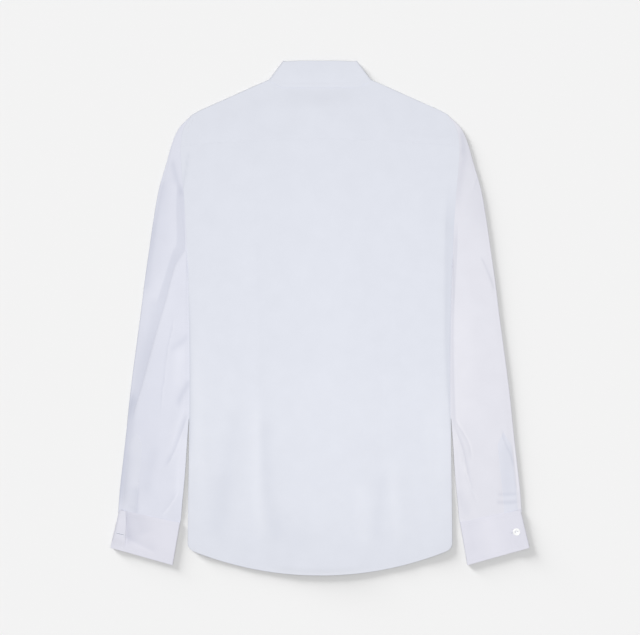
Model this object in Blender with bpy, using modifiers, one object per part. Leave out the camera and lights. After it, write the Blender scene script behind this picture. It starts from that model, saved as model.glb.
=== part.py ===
"""A man's long sleeve dress shirt, laid flat on its front with the back up.

The collar points to +Y and the shirt lies on z = 0.  Sizes are in millimetres,
and the points of every mesh are turned to metres as it is made.  Each cut piece
is a cloth wall of its own: a grid of points, thickened by Solidify.
"""

import math

import bmesh
import bpy
from mathutils import Vector

NAME = "long_sleeve_dress_shirt"
MM = 0.001
LEFT, RIGHT = -1, 1                 # the wearer's left lies at -X, because the back is up
SIDES = {"left": LEFT, "right": RIGHT}

# Cloth and seams
CLOTH = 1.1                         # one ply with its turnings
CUFF_CLOTH = 1.6                    # two plies and an interlining
SEAM = 0.35                         # clear gap between two pieces that are sewn together
ARM_SEAM = 1.15                     # the same round the armhole, whose two edges bend
LAYER = CLOTH + SEAM                # height that one ply adds to a stack
LOFT = 1.0                          # air between the back and the fronts under it

# Body
HEM_DROP = 385.45                   # lowest point of the back hem, below the origin line
HEM_RISE = 36.0                     # how far the shirt-tail curve climbs to the side seams
HEM_HALF = 189.0
HEM_POWER = 2.1
HEM_CORNER = 9.0
FRONT_SHORTER = 13.0                # the front tail is this much shorter at the centre
YOKE_SEAM_Y = 267.0
YOKE_SEAM_FALL = 9.0                # the seam falls this much by its half length
YOKE_SEAM_HALF = 205.0
SHOULDER_TIP = 192.0
NECK_X = 76.0                       # half the neck hole, where collar and shoulder meet
SHOULDER_Y = 357.5                  # outline of the shoulder at the neck
SHOULDER_SLOPE = 0.444
YOKE_FRONT = 33.0                   # the yoke comes this far over the shoulder
YOKE_FOLD_IN = 1.9                  # its fold starts this far inside that outline
NECK_BACK_Y = 350.0
NECK_BACK_RISE = 5.6                # the back neckline rises this much to the shoulder
NECK_FRONT_Y = 324.0                # the front neckline turns round from here
NECK_FRONT_DROP = 44.0
NECK_POWER = 2.2

# Closing: strip, overlap and buttons, which face down
STRIP_HALF = 18.0
BUTTON_RADIUS = 5.75
BUTTON_HEIGHT = 2.2
STRIP_Z = BUTTON_HEIGHT + SEAM
CLOSING_Z = {LEFT: STRIP_Z + LAYER, RIGHT: STRIP_Z + 2 * LAYER}
CLOSING_FLAT = 22.0                 # both fronts lie level to here and then slope down
CLOSING_END = 100.0
COLLAR_BUTTON_Y = 294.0
FRONT_BUTTON_Y = 219.0
BUTTON_STEP = 88.0
FRONT_BUTTONS = 6

# Collar: rings round an axis that is level with the middle of the stack
RING_Z = 3.05
STAND_RING = 1.0
LEAF_RING = 2.5
STAND_END = 14.0                    # the stand's tabs pass the centre by this much
LEAF_START = 0.1                    # share of the front fold line that the leaf leaves bare
AXIS_TOP = (53.2, 382.8)            # where the fold line meets the collar's side
FOLD_BACK_Y = 383.7
FOLD_FRONT_Y = 308.0
FOLD_POWER = 1.35
LEAF_BACK_Y = 345.0
POINTS_Y = (200.0, 230.0)           # over these the fronts rise on to the collar's points
POINTS_X = (88.0, 112.0)
LEVEL_Y = (312.0, 346.0)            # over these the back and yoke go level with the stand
LEVEL_X = (82.0, 125.0)
NECK_SHARE = 0.8                    # share of the front half that follows the neckline's curve
TAB_SHARE = 0.2                     # and the share by which the tabs pass the centre
TAB_FALL = 9.0                      # fall of the stand's top edge along a tab
OFF_CLOSING = (0.3, 0.62)           # shares over which the stand comes down from the closing
NECK_INSET = 0.4                    # the stand is seamed this far inside the neckline
FOLD_GAP = 0.5                      # the leaf starts this far past the stand's top edge

# Cuffs, in the plane: corners of the flattened band
CUFF_TOP_OUTER = (300.5, -287.0)
CUFF_TOP_INNER = (209.5, -306.6)
CUFF_LOW_OUTER = (314.2, -343.8)
CUFF_LOW_INNER = (220.6, -370.2)
CUFF_WIDTH = 94.0                   # nominal, to turn distances round the band into shares
CUFF_HEIGHT = 61.0
CUFF_LAP = {LEFT: (12.0, 22.0), RIGHT: (25.0, 25.0)}   # lap's edge from the outer fold, top and low
CUFF_UNDER = {LEFT: 5.0, RIGHT: 9.0}     # the under end stops this far from the outer fold
CUFF_BUTTON_IN = {LEFT: 9.8, RIGHT: 14.0}   # button centre from the outer fold
CUFF_BUTTON_DOWN = 0.52             # and this share of the height below the sleeve seam
CUFF_AIR = 0.9
INNER_BEND, OUTER_BEND, LAP_STEPS = 5, 6, 4     # steps round the cuff's folds and over its lap
PLACKET_STATIONS = 3.5              # stations of the sleeve that its placket runs along
PLACKET_OUT = 4.5
PLACKET_WIDTH = 21.0
PLACKET_POINT = 0.8                 # share of its width that its point takes in
PLACKET_POINT_LONG = 0.14           # and the share of its length that the point takes up

# Half width of the body: the armhole seam above the underarm, the side seam below it
BODY_EDGE = (
    # y, half width
    (306.0, 190.0), (303.0, 192.0), (285.0, 203.8), (258.0, 208.8), (225.0, 207.4),
    (190.0, 204.5), (150.0, 201.5), (110.0, 199.5), (75.0, 198.5), (0.0, 196.5),
    (-80.0, 195.5), (-180.0, 196.4), (-280.0, 197.6), (-400.0, 198.5),
)
SIDE_SEAM_TOP = (55.0, 115.0)       # the side seam lies down below these, the armhole stands above
SIDE_FALL = 14.0                    # the loft is lost over this distance at the side seam
FOLDS_IN = 22.0                     # the back's folds start this far in from its edges
FOLDS_TOP = (225.0, 262.0)          # and fade out over these towards the yoke

# Outer fold of the sleeve
SLEEVE_OUTER = (
    # y, x
    (303.0, 191.5), (294.0, 202.0), (288.0, 208.0), (279.0, 214.0), (259.5, 222.0),
    (237.0, 228.5), (192.0, 241.5), (147.0, 249.5), (102.0, 256.0), (57.0, 262.5),
    (12.0, 268.0), (-33.0, 274.0), (-78.0, 280.0), (-123.0, 285.5), (-168.0, 290.0),
    (-213.0, 295.0), (-258.0, 300.0), (-290.0, 302.5),
)
# Inner fold where it leaves the body
SLEEVE_INNER = (
    # y, x
    (-150.0, 197.0), (-183.0, 199.5), (-243.0, 203.6), (-273.0, 206.6), (-310.0, 209.6),
)
# Stations from the armhole to the cuff: where each one meets the two folds
SLEEVE_STATIONS = (
    # inner y, outer y, share of the armhole's bow, air inside, inner fold's way out
    (75.0, 303.0, 1.00, 1.3, 0.0), (71.5, 290.0, 0.80, 1.3, 2.0), (67.0, 279.0, 0.60, 1.4, 2.9),
    (61.5, 260.0, 0.40, 1.5, 2.6), (54.5, 232.0, 0.20, 1.6, 1.5), (46.5, 195.0, 0.06, 1.7, 0.5),
    (37.0, 155.0, 0.00, 1.8, 0.0), (24.0, 112.0, 0.00, 1.9, 0.0), (7.0, 68.0, 0.00, 1.9, 0.0),
    (-15.0, 24.0, 0.00, 1.9, 0.0), (-41.0, -20.0, 0.00, 1.9, 0.0),
    (-72.0, -64.0, 0.00, 1.9, 0.0), (-108.0, -108.0, 0.00, 1.8, 0.0),
    (-150.0, -150.0, 0.00, 1.7, 0.0), (-195.0, -192.0, 0.00, 1.6, 0.0),
    (-240.0, -230.0, 0.00, 1.5, 0.0), (-276.0, -261.0, 0.00, 1.4, 0.0),
    (-306.0, -286.4, 0.00, 1.2, 0.0),
)

# Soft folds.  A fold runs from (x, y) to (x, y); a trough has a height below zero.
BACK_FOLDS = (
    # from x, from y, to x, to y, half width, height
    (-94, 110, -95, -300, 9, -0.7), (95, 90, 95, -250, 9, -0.6),
    (-112, -120, -104, -375, 15, 1.7), (-74, -130, -70, -370, 16, 1.3),
    (-150, -160, -160, -360, 20, 0.9), (112, -190, 122, -368, 15, 1.6),
    (76, -170, 70, -378, 17, 1.1), (160, -150, 168, -350, 18, 0.9),
    (0, -190, 6, -384, 26, 0.9), (-150, 225, -120, 60, 24, 0.7),
    (150, 220, 128, 50, 24, 0.7),
)
SLEEVE_FOLDS = {
    LEFT: (
        (205, 112, 232, 22, 11, 1.6), (232, 22, 262, -112, 12, 1.9),
        (262, -112, 280, -190, 14, 0.9), (212, 30, 222, -60, 10, 0.8),
        (208, -120, 224, -240, 11, 1.3), (238, -170, 262, -275, 12, 1.1),
        (228, 150, 238, 60, 13, 0.8), (282, -230, 288, -284, 7, 0.9),
    ),
    RIGHT: (
        (208, 120, 226, 10, 13, 1.3), (226, 10, 232, -110, 13, 1.1),
        (202, -158, 226, -205, 9, 1.4), (214, -215, 236, -280, 10, 1.2),
        (276, -160, 290, -225, 11, 1.1), (246, 62, 262, 40, 8, 0.7),
        (228, 160, 240, 70, 13, 0.8), (250, -120, 268, -262, 14, 0.9),
    ),
}


def ramp(low, high, value):
    """0 below low, 1 above high, and smooth between them."""
    share = min(1.0, max(0.0, (value - low) / (high - low)))
    return share * share * (3 - 2 * share)


def mix(first, second, share):
    """The value or point that lies a share of the way from first to second."""
    if isinstance(first, (int, float)):
        return first + (second - first) * share
    return tuple(a + (b - a) * share for a, b in zip(first, second))


def upper(first, second):
    """The larger of two heights, with the corner between them rounded."""
    return (max(first, 0.0) ** 4 + max(second, 0.0) ** 4) ** 0.25


def read(table, key):
    """Second column of a table at a key in its first, smooth between the rows."""
    rows = sorted(table)
    if key <= rows[0][0]:
        return rows[0][1]
    if key >= rows[-1][0]:
        return rows[-1][1]
    place = next(i for i in range(len(rows) - 1) if key <= rows[i + 1][0])
    slopes = []
    for i in (place, place + 1):
        low, high = rows[max(i - 1, 0)], rows[min(i + 1, len(rows) - 1)]
        slopes.append((high[1] - low[1]) / (high[0] - low[0]))
    (x0, y0), (x1, y1) = rows[place], rows[place + 1]
    span = x1 - x0
    t = (key - x0) / span
    return ((1 + 2 * t) * (1 - t) ** 2 * y0 + t * (1 - t) ** 2 * span * slopes[0]
            + t * t * (3 - 2 * t) * y1 + t * t * (t - 1) * span * slopes[1])


def folds(table, x, y):
    """Height that the soft folds of a table add at a point."""
    total = 0.0
    for x0, y0, x1, y1, half_width, height in table:
        along_x, along_y = x1 - x0, y1 - y0
        length = math.hypot(along_x, along_y)
        t = ((x - x0) * along_x + (y - y0) * along_y) / length ** 2
        aside = ((x - x0) * along_y - (y - y0) * along_x) / length
        fade = ramp(-0.12, 0.3, t) * (1 - ramp(0.75, 1.12, t))
        total += height * fade * math.exp(-(aside / half_width) ** 2)
    return total


# ---------------------------------------------------------------- outlines

def body_edge(y):
    return read(BODY_EDGE, y)


def hem(x, shorter=0.0):
    """The shirt-tail curve, with its corners rounded into the side seams."""
    y = -HEM_DROP + HEM_RISE * (abs(x) / HEM_HALF) ** HEM_POWER
    y += shorter * (1 - (x / HEM_HALF) ** 2)
    into = min(HEM_CORNER, max(0.0, abs(x) - (body_edge(y) - HEM_CORNER)))
    return y + HEM_CORNER - math.sqrt(HEM_CORNER ** 2 - into ** 2)


def yoke_seam(x):
    return YOKE_SEAM_Y - YOKE_SEAM_FALL * (x / YOKE_SEAM_HALF) ** 2


def shoulder(x):
    """Outline of the shoulder, which the yoke folds round."""
    return SHOULDER_Y - SHOULDER_SLOPE * (abs(x) - NECK_X)


def neck_back(x):
    return NECK_BACK_Y + NECK_BACK_RISE * (x / NECK_X) ** 2


def neck_front(x):
    """Front neckline: the lower half of a rounded oblong."""
    share = min(1.0, abs(x) / NECK_X)
    return NECK_FRONT_Y - NECK_FRONT_DROP * (1 - share ** NECK_POWER) ** (1 / NECK_POWER)


# ---------------------------------------------------------------- heights

def over_leaf(x, y):
    """Lift of the fronts where the collar's points lie under them."""
    return LAYER * ramp(*POINTS_Y, y) * (1 - ramp(*POINTS_X, abs(x)))


def over_closing(x, side):
    return CLOSING_Z[side] * (1 - ramp(CLOSING_FLAT, CLOSING_END, x * side))


def front_low(x, y, side):
    """Lower face of a front."""
    return upper(over_closing(x, side), over_leaf(x, y))


def back_low(x, y):
    """Lower face of the back and the yoke, which follow the fronts under them."""
    hill = upper(over_closing(abs(x), RIGHT), over_leaf(x, y))
    from_edge = body_edge(y) - abs(x)
    side = 1 - ramp(*SIDE_SEAM_TOP, y)
    loft = LOFT * (1 - side * (1 - ramp(0, SIDE_FALL, from_edge)))
    low = LAYER + hill + loft
    collar = ramp(*LEVEL_Y, y) * (1 - ramp(*LEVEL_X, abs(x)))
    level = RING_Z + STAND_RING - CLOTH / 2
    inside = ramp(0, FOLDS_IN, from_edge) * (1 - ramp(*FOLDS_TOP, y))
    low = max(low + inside * folds(BACK_FOLDS, x, y), LAYER + hill)
    return mix(low, level, collar)


# ---------------------------------------------------------------- meshes

def material(name, colour, roughness):
    made = bpy.data.materials.new(name)
    made.use_nodes = True
    shader = made.node_tree.nodes["Principled BSDF"]
    shader.inputs["Base Color"].default_value = (*colour, 1)
    shader.inputs["Roughness"].default_value = roughness
    shader.inputs["Metallic"].default_value = 0.0
    made.diffuse_color = (*colour, 1)
    return made


def place(name, mesh, finish):
    """Puts a mesh in the shirt's collection under its piece's name."""
    mesh.materials.append(finish)
    piece = bpy.data.objects.new(name, mesh)
    shirt.objects.link(piece)
    return piece


def cloth(name, rows, thickness=CLOTH, tone=0.80, round_loop=False):
    """A cloth wall: rows of points, with None where the panel has no cloth."""
    work = bmesh.new()
    net = [[None if point is None else work.verts.new(Vector(point) * MM) for point in row]
           for row in rows]
    for low, high in zip(net, net[1:]):
        count = len(low) if round_loop else len(low) - 1
        for i in range(count):
            corners = (low[i], low[(i + 1) % len(low)], high[(i + 1) % len(low)], high[i])
            if None not in corners:
                work.faces.new(corners)
    bmesh.ops.recalc_face_normals(work, faces=work.faces)
    mesh = bpy.data.meshes.new(name)
    work.to_mesh(mesh)
    work.free()
    mesh.shade_smooth()
    piece = place(name, mesh, material(name + "_poplin", (tone, tone + 0.01, tone + 0.05), 0.85))
    wall = piece.modifiers.new("Wall", "SOLIDIFY")
    wall.thickness = thickness * MM
    wall.offset = 0
    wall.use_even_offset = not round_loop
    wall.use_rim = True
    return piece


def button(name, x, y, z_face, up):
    """A round button with a raised rim and a dished middle, facing up (1) or down (-1)."""
    radius, height = BUTTON_RADIUS, BUTTON_HEIGHT
    profile = (
        # radius, height above the button's back
        (0.0, 0.62 * height), (0.5 * radius, 0.66 * height), (0.74 * radius, height),
        (0.9 * radius, 0.93 * height), (radius, 0.5 * height), (0.8 * radius, 0.0), (0.0, 0.0),
    )
    work = bmesh.new()
    points = [work.verts.new(Vector((r, 0, h)) * MM) for r, h in profile]
    for low, high in zip(points, points[1:]):
        work.edges.new((low, high))
    mesh = bpy.data.meshes.new(name)
    work.to_mesh(mesh)
    work.free()
    piece = place(name, mesh, material(name + "_pearl", (0.9, 0.89, 0.86), 0.25))
    turn = piece.modifiers.new("Turn", "SCREW")
    turn.steps = turn.render_steps = 12
    turn.use_merge_vertices = True
    turn.merge_threshold = 0.00001
    turn.use_smooth_shade = True
    piece.rotation_euler.x = 0.0 if up > 0 else math.pi
    piece.location = Vector((x, y, z_face - up * height)) * MM
    return piece


# ---------------------------------------------------------------- body

def spread(count, crowd=0.6):
    """Shares from -1 to 1 that crowd towards both ends."""
    even = [2 * i / (count - 1) - 1 for i in range(count)]
    return [(1 - crowd) * t + crowd * math.sin(math.pi / 2 * t) for t in even]


def on_panel(share, top, bottom, down):
    """The place in a panel that a share of its width and of its height gives."""
    x = share * BODY_EDGE[-1][1]
    for _ in range(4):
        y = mix(top(x), bottom(x), down)
        x = share * body_edge(y)
    return x, y


def back_panel(down_steps=24, columns=23):
    """The back, from the yoke seam to the tail, with its soft flare."""
    rows = []
    for i in range(down_steps + 1):
        down = i / down_steps
        down = mix(down, math.sin(math.pi / 2 * down), 0.3)
        row = []
        for share in spread(columns):
            x, y = on_panel(share, lambda at: yoke_seam(at) - SEAM, hem, down)
            row.append((x, y, back_low(x, y) + CLOTH / 2))
        rows.append(row)
    return cloth("back", rows, tone=0.79)


def beyond_neck(station, y):
    """x of a station that is measured at the shoulder, drawn out to the armhole at y."""
    if abs(station) <= NECK_X:
        return station
    side = math.copysign(1.0, station)
    reach = (abs(station) - NECK_X) / (SHOULDER_TIP - NECK_X)
    return side * mix(NECK_X, body_edge(y), reach)


YOKE_STATIONS = (0, 18, 36, 52, 65, 76, 92, 112, 132, 152, 170, 184, 192)


def yoke(steps=6, turns=4, over=2):
    """One piece from the back seam over both shoulders to a seam on each front."""
    half = YOKE_STATIONS
    stations = [-x for x in reversed(half[1:])] + list(half)
    columns = []
    for station in stations:
        column = []
        wraps = abs(station) >= NECK_X
        for i in range(steps + 1):
            x = station
            for _ in range(4):
                fold_y = shoulder(x) - YOKE_FOLD_IN
                top = fold_y if wraps else neck_back(x)
                y = mix(yoke_seam(x), top, i / steps)
                x = beyond_neck(station, y)
            column.append((x, y, back_low(x, y) + CLOTH / 2))
        if wraps:
            side = math.copysign(1, station)
            x, fold_y, high = column[-1]
            low = front_low(x, fold_y, side) + CLOTH / 2
            radius = (high - low) / 2
            for i in range(1, turns + 1):
                angle = math.pi / 2 - math.pi * i / turns
                column.append((x, fold_y + radius * math.cos(angle),
                               low + radius * (1 + math.sin(angle))))
            for i in range(1, over + 1):
                y = fold_y - (YOKE_FRONT - YOKE_FOLD_IN) * i / over
                x = beyond_neck(station, y)
                column.append((x, y, front_low(x, y, side) + CLOTH / 2))
        else:
            column += [None] * (turns + over)
        columns.append(column)
    return cloth("yoke", columns, tone=0.76)


FRONT_STATIONS = (-18, 2, 20, 36, 50, 62, 70, 75, 76, 96, 122, 150, 174, 187, 192)


def front_panel(word, side, down_steps=18):
    """One front: neckline, half the closing, armhole edge, side seam and tail."""
    def top(station):
        if abs(station) < NECK_X:
            return neck_front(station) - SEAM
        return shoulder(station) - YOKE_FRONT - SEAM

    rows = []
    for i in range(down_steps + 1):
        down = i / down_steps
        row = []
        for station in FRONT_STATIONS:
            x = station * side
            for _ in range(4):
                bottom = hem(x, FRONT_SHORTER)
                y = mix(top(station if abs(station) < NECK_X else x), bottom, down)
                x = beyond_neck(station * side, y)
            row.append((x, y, front_low(x, y, side) + CLOTH / 2))
        rows.append(row)
    return cloth("front_" + word, rows, tone=0.81)


def placket_strip(down_steps=18):
    """The buttonhole strip, on the outer face of the left front."""
    rows = []
    for i in range(down_steps + 1):
        row = []
        for share in (-1, 0, 1):
            x = share * STRIP_HALF
            y = mix(neck_front(x) - SEAM, hem(x, FRONT_SHORTER), i / down_steps)
            row.append((x, y, STRIP_Z + CLOTH / 2))
        rows.append(row)
    return cloth("front_placket", rows, tone=0.83)


# ---------------------------------------------------------------- sleeves

def inner_fold(y):
    """Middle of the sleeve's wall at its inner fold: beside the body, then free of it."""
    beside = body_edge(y) + SEAM + CLOTH / 2
    return beside if y > SLEEVE_INNER[0][0] else max(beside, read(SLEEVE_INNER, y))


def sleeve_station(station):
    """Inner fold, outer fold, armhole bow and half height of the tube at a station."""
    low = int(min(station, len(SLEEVE_STATIONS) - 1.0001))
    inner_y, outer_y, bow, air, way_out = mix(
        SLEEVE_STATIONS[low], SLEEVE_STATIONS[low + 1], station - low)
    inner = (inner_fold(inner_y) + way_out, inner_y)
    outer = (read(SLEEVE_OUTER, outer_y) - CLOTH / 2, outer_y)
    return inner, outer, bow, (air + CLOTH) / 2


def sleeve_point(station, share, lean, side):
    """A point of the flattened tube: across it from the inner fold, and up (1) or down (-1)."""
    inner, outer, bow, half = sleeve_station(station)
    width = math.dist(inner, outer)
    reach = half * math.sqrt(max(0.0, 1 - lean * lean))
    across = mix(half, width - half, share) / width
    across += (reach if share > 0.5 else -reach) / width
    x, y = mix(inner, outer, across)
    arm_low, arm_top = SLEEVE_STATIONS[0][:2]
    seam_y = mix(arm_low, arm_top, across)
    arm_inner, arm_outer = sleeve_station(0)[:2]
    x += bow * (body_edge(seam_y) + ARM_SEAM - mix(arm_inner, arm_outer, across)[0])
    z = CLOTH / 2 + half * (1 + lean)
    if lean == 1:
        middle = ramp(0, 0.14, share) * (1 - ramp(0.86, 1, share))
        z += middle * max(folds(SLEEVE_FOLDS[side], x, y), -0.4) * ramp(0, 2, station)
    return x * side, y, z


def tube_section(flat, round_steps):
    """Places round a flattened tube, as (share across, lean), from its inner fold."""
    shares = [(1 - math.cos(math.pi * i / flat)) / 2 for i in range(flat + 1)]
    leans = [math.cos(math.pi * i / round_steps) for i in range(1, round_steps)]
    section = [(share, 1) for share in shares]
    section += [(1.0, lean) for lean in leans]
    section += [(share, -1) for share in reversed(shares)]
    section += [(0.0, -lean) for lean in leans]
    return section


def sleeve(word, side, flat=10, round_steps=4):
    """One sleeve: a tube pressed flat, from the armhole to the cuff."""
    rows = []
    for station in range(len(SLEEVE_STATIONS)):
        rows.append([sleeve_point(station, share, lean, side)
                     for share, lean in tube_section(flat, round_steps)])
    return cloth("sleeve_" + word, rows, tone=0.77 + 0.02 * side, round_loop=True)


def lifted(rows, height):
    """Points of a panel moved out of it along its own normals."""
    moved = []
    for i, row in enumerate(rows):
        line = []
        for j, point in enumerate(row):
            before, after = rows[max(i - 1, 0)][j], rows[min(i + 1, len(rows) - 1)][j]
            left, right = row[max(j - 1, 0)], row[min(j + 1, len(row) - 1)]
            normal = (Vector(right) - Vector(left)).cross(Vector(after) - Vector(before))
            normal.normalize()
            line.append(Vector(point) + normal * math.copysign(height, normal.z))
        moved.append(line)
    return moved


def sleeve_placket(word, side, along=9, across=3):
    """The strip beside the cuff's opening, with a pointed top, on the back of the sleeve."""
    last = len(SLEEVE_STATIONS) - 1
    rows = []
    for i in range(along + 1):
        station = mix(last - PLACKET_STATIONS, last, i / along)
        inner, outer = sleeve_station(station)[:2]
        closing_in = PLACKET_POINT * (1 - ramp(0, PLACKET_POINT_LONG, i / along))
        row = []
        for j in range(across + 1):
            aside = PLACKET_OUT + PLACKET_WIDTH * mix(j / across, 0.5, closing_in)
            row.append(sleeve_point(station, 1 - aside / math.dist(inner, outer), 1, side))
        rows.append(row)
    return cloth("sleeve_placket_" + word, lifted(rows, LAYER), tone=0.82)


# ---------------------------------------------------------------- cuffs

def cuff_levels(side):
    """Middle heights of the cuff's three layers: under, upper and lap."""
    under = CUFF_CLOTH / 2
    above = under + CUFF_CLOTH + CUFF_AIR
    lap = above + CUFF_CLOTH + SEAM
    if side == LEFT:
        lap += BUTTON_HEIGHT + SEAM
    return under, above, lap


def cuff_place(aside, down, side):
    """Plane point of a cuff: aside from its outer fold, down from its seam with the sleeve."""
    top = mix(CUFF_TOP_OUTER, CUFF_TOP_INNER, aside)
    low = mix(CUFF_LOW_OUTER, CUFF_LOW_INNER, aside)
    x, y = mix(top, low, down)
    return x * side, y


def cuff(word, side, flat=9, down_steps=3):
    """A barrel cuff: a stiff band round the wrist whose lap passes over its under end."""
    under, above, lap = cuff_levels(side)
    inner_round = (above - under) / 2
    outer_round = (lap - under) / 2
    inner_turn = CUFF_WIDTH - inner_round - CUFF_CLOTH / 2      # where the folds begin
    outer_turn = outer_round + CUFF_CLOTH / 2
    path = [(mix(CUFF_UNDER[side], inner_turn, i / flat), above) for i in range(flat + 1)]
    for i in range(1, INNER_BEND):
        angle = math.pi * i / INNER_BEND
        path.append((inner_turn + inner_round * math.sin(angle),
                     under + inner_round * (1 + math.cos(angle))))
    path += [(mix(inner_turn, outer_turn, i / flat), under) for i in range(flat + 1)]
    for i in range(1, OUTER_BEND):
        angle = math.pi * i / OUTER_BEND
        path.append((outer_turn - outer_round * math.sin(angle),
                     under + outer_round * (1 - math.cos(angle))))
    rows = []
    for i in range(down_steps + 1):
        down = mix(SEAM / CUFF_HEIGHT, 1, i / down_steps)
        lap_edge = mix(*CUFF_LAP[side], down)
        over = [(mix(outer_turn, lap_edge, j / LAP_STEPS), lap) for j in range(LAP_STEPS + 1)]
        rows.append([(*cuff_place(aside / CUFF_WIDTH, down, side), z) for aside, z in path + over])
    return cloth("cuff_" + word, rows, CUFF_CLOTH, tone=0.85)


def cuff_button(word, side):
    """The right cuff is buttoned; the left lap lies loose over its button."""
    under, above, lap = cuff_levels(side)
    face = lap + CUFF_CLOTH / 2 if side == RIGHT else above + CUFF_CLOTH / 2
    x, y = cuff_place(CUFF_BUTTON_IN[side] / CUFF_WIDTH, CUFF_BUTTON_DOWN, side)
    button("cuff_button_" + word, x, y, face + SEAM + BUTTON_HEIGHT, 1)


# ---------------------------------------------------------------- collar

LEAF_EDGE = (
    # share of the way from the front to the side, x, y
    (0.0, 46.0, 246.0), (0.2, 57.0, 259.0), (0.45, 71.0, 286.0), (0.7, 80.5, 318.0),
    (0.88, 80.0, 342.0), (1.0, 72.8, 356.0),
)
NECK_SIDE = (72.0, 357.1)


def stand_low(x, share, side):
    """Lower face of the stand's front half, which comes down from the closing to the leaf."""
    closing = (over_closing(x * side, side) - LAYER) * (1 - ramp(*OFF_CLOSING, share))
    return upper(LAYER + 0.05, closing)


def collar_front(share, side):
    """Neckline, fold line, leaf edge and stand ring at a share from the front to the side."""
    angle = min(share / NECK_SHARE, 1.0) * math.pi / 2
    wide, deep, bend = NECK_X - NECK_INSET, NECK_FRONT_DROP - NECK_INSET, 2 / NECK_POWER
    neck = (wide * max(math.sin(angle), 0.0) ** bend,
            NECK_FRONT_Y - deep * max(math.cos(angle), 0.0) ** bend)
    if share > NECK_SHARE:
        neck = mix((wide, NECK_FRONT_Y), NECK_SIDE, (share - NECK_SHARE) / (1 - NECK_SHARE))
    if share < 0:
        neck = (STAND_END * share / TAB_SHARE, NECK_FRONT_Y - deep)
    if share >= 0:
        fold = (AXIS_TOP[0] * share,
                mix(FOLD_FRONT_Y, AXIS_TOP[1], share ** FOLD_POWER))
    else:
        fold = (neck[0] * 0.98, FOLD_FRONT_Y - TAB_FALL * (share / TAB_SHARE) ** 2)
    edge = (read([row[:2] for row in LEAF_EDGE], share),
            read([(row[0], row[2]) for row in LEAF_EDGE], share))
    rings = [RING_Z - stand_low(x, share, side) - CLOTH / 2 for x in (neck[0], fold[0])]
    return neck, fold, edge, rings


def collar_back(share):
    """The same at a share from the side to the centre back."""
    x = NECK_SIDE[0] * (1 - share)
    neck = (x, mix(NECK_SIDE[1], neck_back(x) + NECK_INSET, ramp(0, 0.12, share)))
    fold = (AXIS_TOP[0] * (1 - share), mix(AXIS_TOP[1], FOLD_BACK_Y, ramp(0, 0.5, share)))
    edge_x = LEAF_EDGE[-1][1] * (1 - share)
    edge = (edge_x, mix(LEAF_EDGE[-1][2], LEAF_BACK_Y, ramp(0, 0.28, share) ** 0.6))
    return neck, fold, edge, (STAND_RING, STAND_RING)


def collar_stations(start):
    """Stations round the collar, left end first: neck, fold, edge, rings, lean and side."""
    outward = Vector((AXIS_TOP[1] - NECK_SIDE[1], NECK_SIDE[0] - AXIS_TOP[0], 0)).normalized()
    halves = {}
    for side in (LEFT, RIGHT):
        stations = []
        front = [-TAB_SHARE, -0.17, -0.1] + [i / 10 for i in range(11)]
        for share in [share for share in front if share >= start]:
            stations.append((*collar_front(share, side), Vector((0, 0, -1)), side))
        for i in range(1, 5):
            angle = math.pi * (i / 5 - 0.5)
            lean = outward * math.cos(angle) + Vector((0, 0, math.sin(angle)))
            stations.append((*collar_back(0.0), lean, side))
        for i in range(5):
            stations.append((*collar_back(i / 5), Vector((0, 0, 1)), side))
        halves[side] = stations
    centre = (*collar_back(1.0), Vector((0, 0, 1)), RIGHT)
    return halves[LEFT] + [centre] + halves[RIGHT][::-1]


def collar_point(plan, lean, ring, side):
    """A point on a ring round the collar's axis."""
    spot = Vector((plan[0], plan[1], RING_Z)) + lean * ring
    spot.x *= side
    return spot


def collar_stand(steps=3):
    """The band round the neck, buttoned at the front with its tabs overlapped."""
    rows = []
    for i in range(steps + 1):
        row = []
        for neck, fold, edge, rings, lean, side in collar_stations(-TAB_SHARE):
            share = i / steps
            row.append(collar_point(mix(neck, fold, share), lean, mix(*rings, share), side))
        rows.append(row)
    return cloth("collar_stand", rows, tone=0.80)


def collar_leaf(rolls=5, falls=4):
    """The fall: it rolls over the stand's top edge and lies on its outer side."""
    columns = []
    for neck, fold, edge, rings, lean, side in collar_stations(LEAF_START):
        ring = rings[1]
        up = Vector((fold[0] - neck[0], fold[1] - neck[1], 0)).normalized()
        radius = (LEAF_RING - ring) / 2
        column = []
        for i in range(rolls + 1):
            angle = math.pi * i / rolls
            plan = Vector((*fold, 0)) + up * (FOLD_GAP + radius * math.sin(angle))
            column.append(collar_point(plan, lean, ring + radius * (1 - math.cos(angle)), side))
        for i in range(1, falls + 1):
            column.append(collar_point(mix(fold, edge, i / falls), lean, LEAF_RING, side))
        columns.append(column)
    return cloth("collar_leaf", columns, tone=0.86)


# ---------------------------------------------------------------- the shirt

for old in list(bpy.data.objects):
    bpy.data.objects.remove(old, do_unlink=True)

shirt = bpy.data.collections.new(NAME)
bpy.context.scene.collection.children.link(shirt)

back_panel()
yoke()
placket_strip()
for word, side in SIDES.items():
    front_panel(word, side)
    sleeve(word, side)
    sleeve_placket(word, side)
    cuff(word, side)
    cuff_button(word, side)
collar_stand()
collar_leaf()
button("button_1", 0, COLLAR_BUTTON_Y, 0, -1)
for number in range(FRONT_BUTTONS):
    button("button_%d" % (number + 2), 0, FRONT_BUTTON_Y - number * BUTTON_STEP, 0, -1)
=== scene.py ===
"""The looks of a white long sleeve dress shirt that lies flat with its back up.

Lengths are in millimetres until a mesh is made, which turns them to metres.
"""

import math

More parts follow.
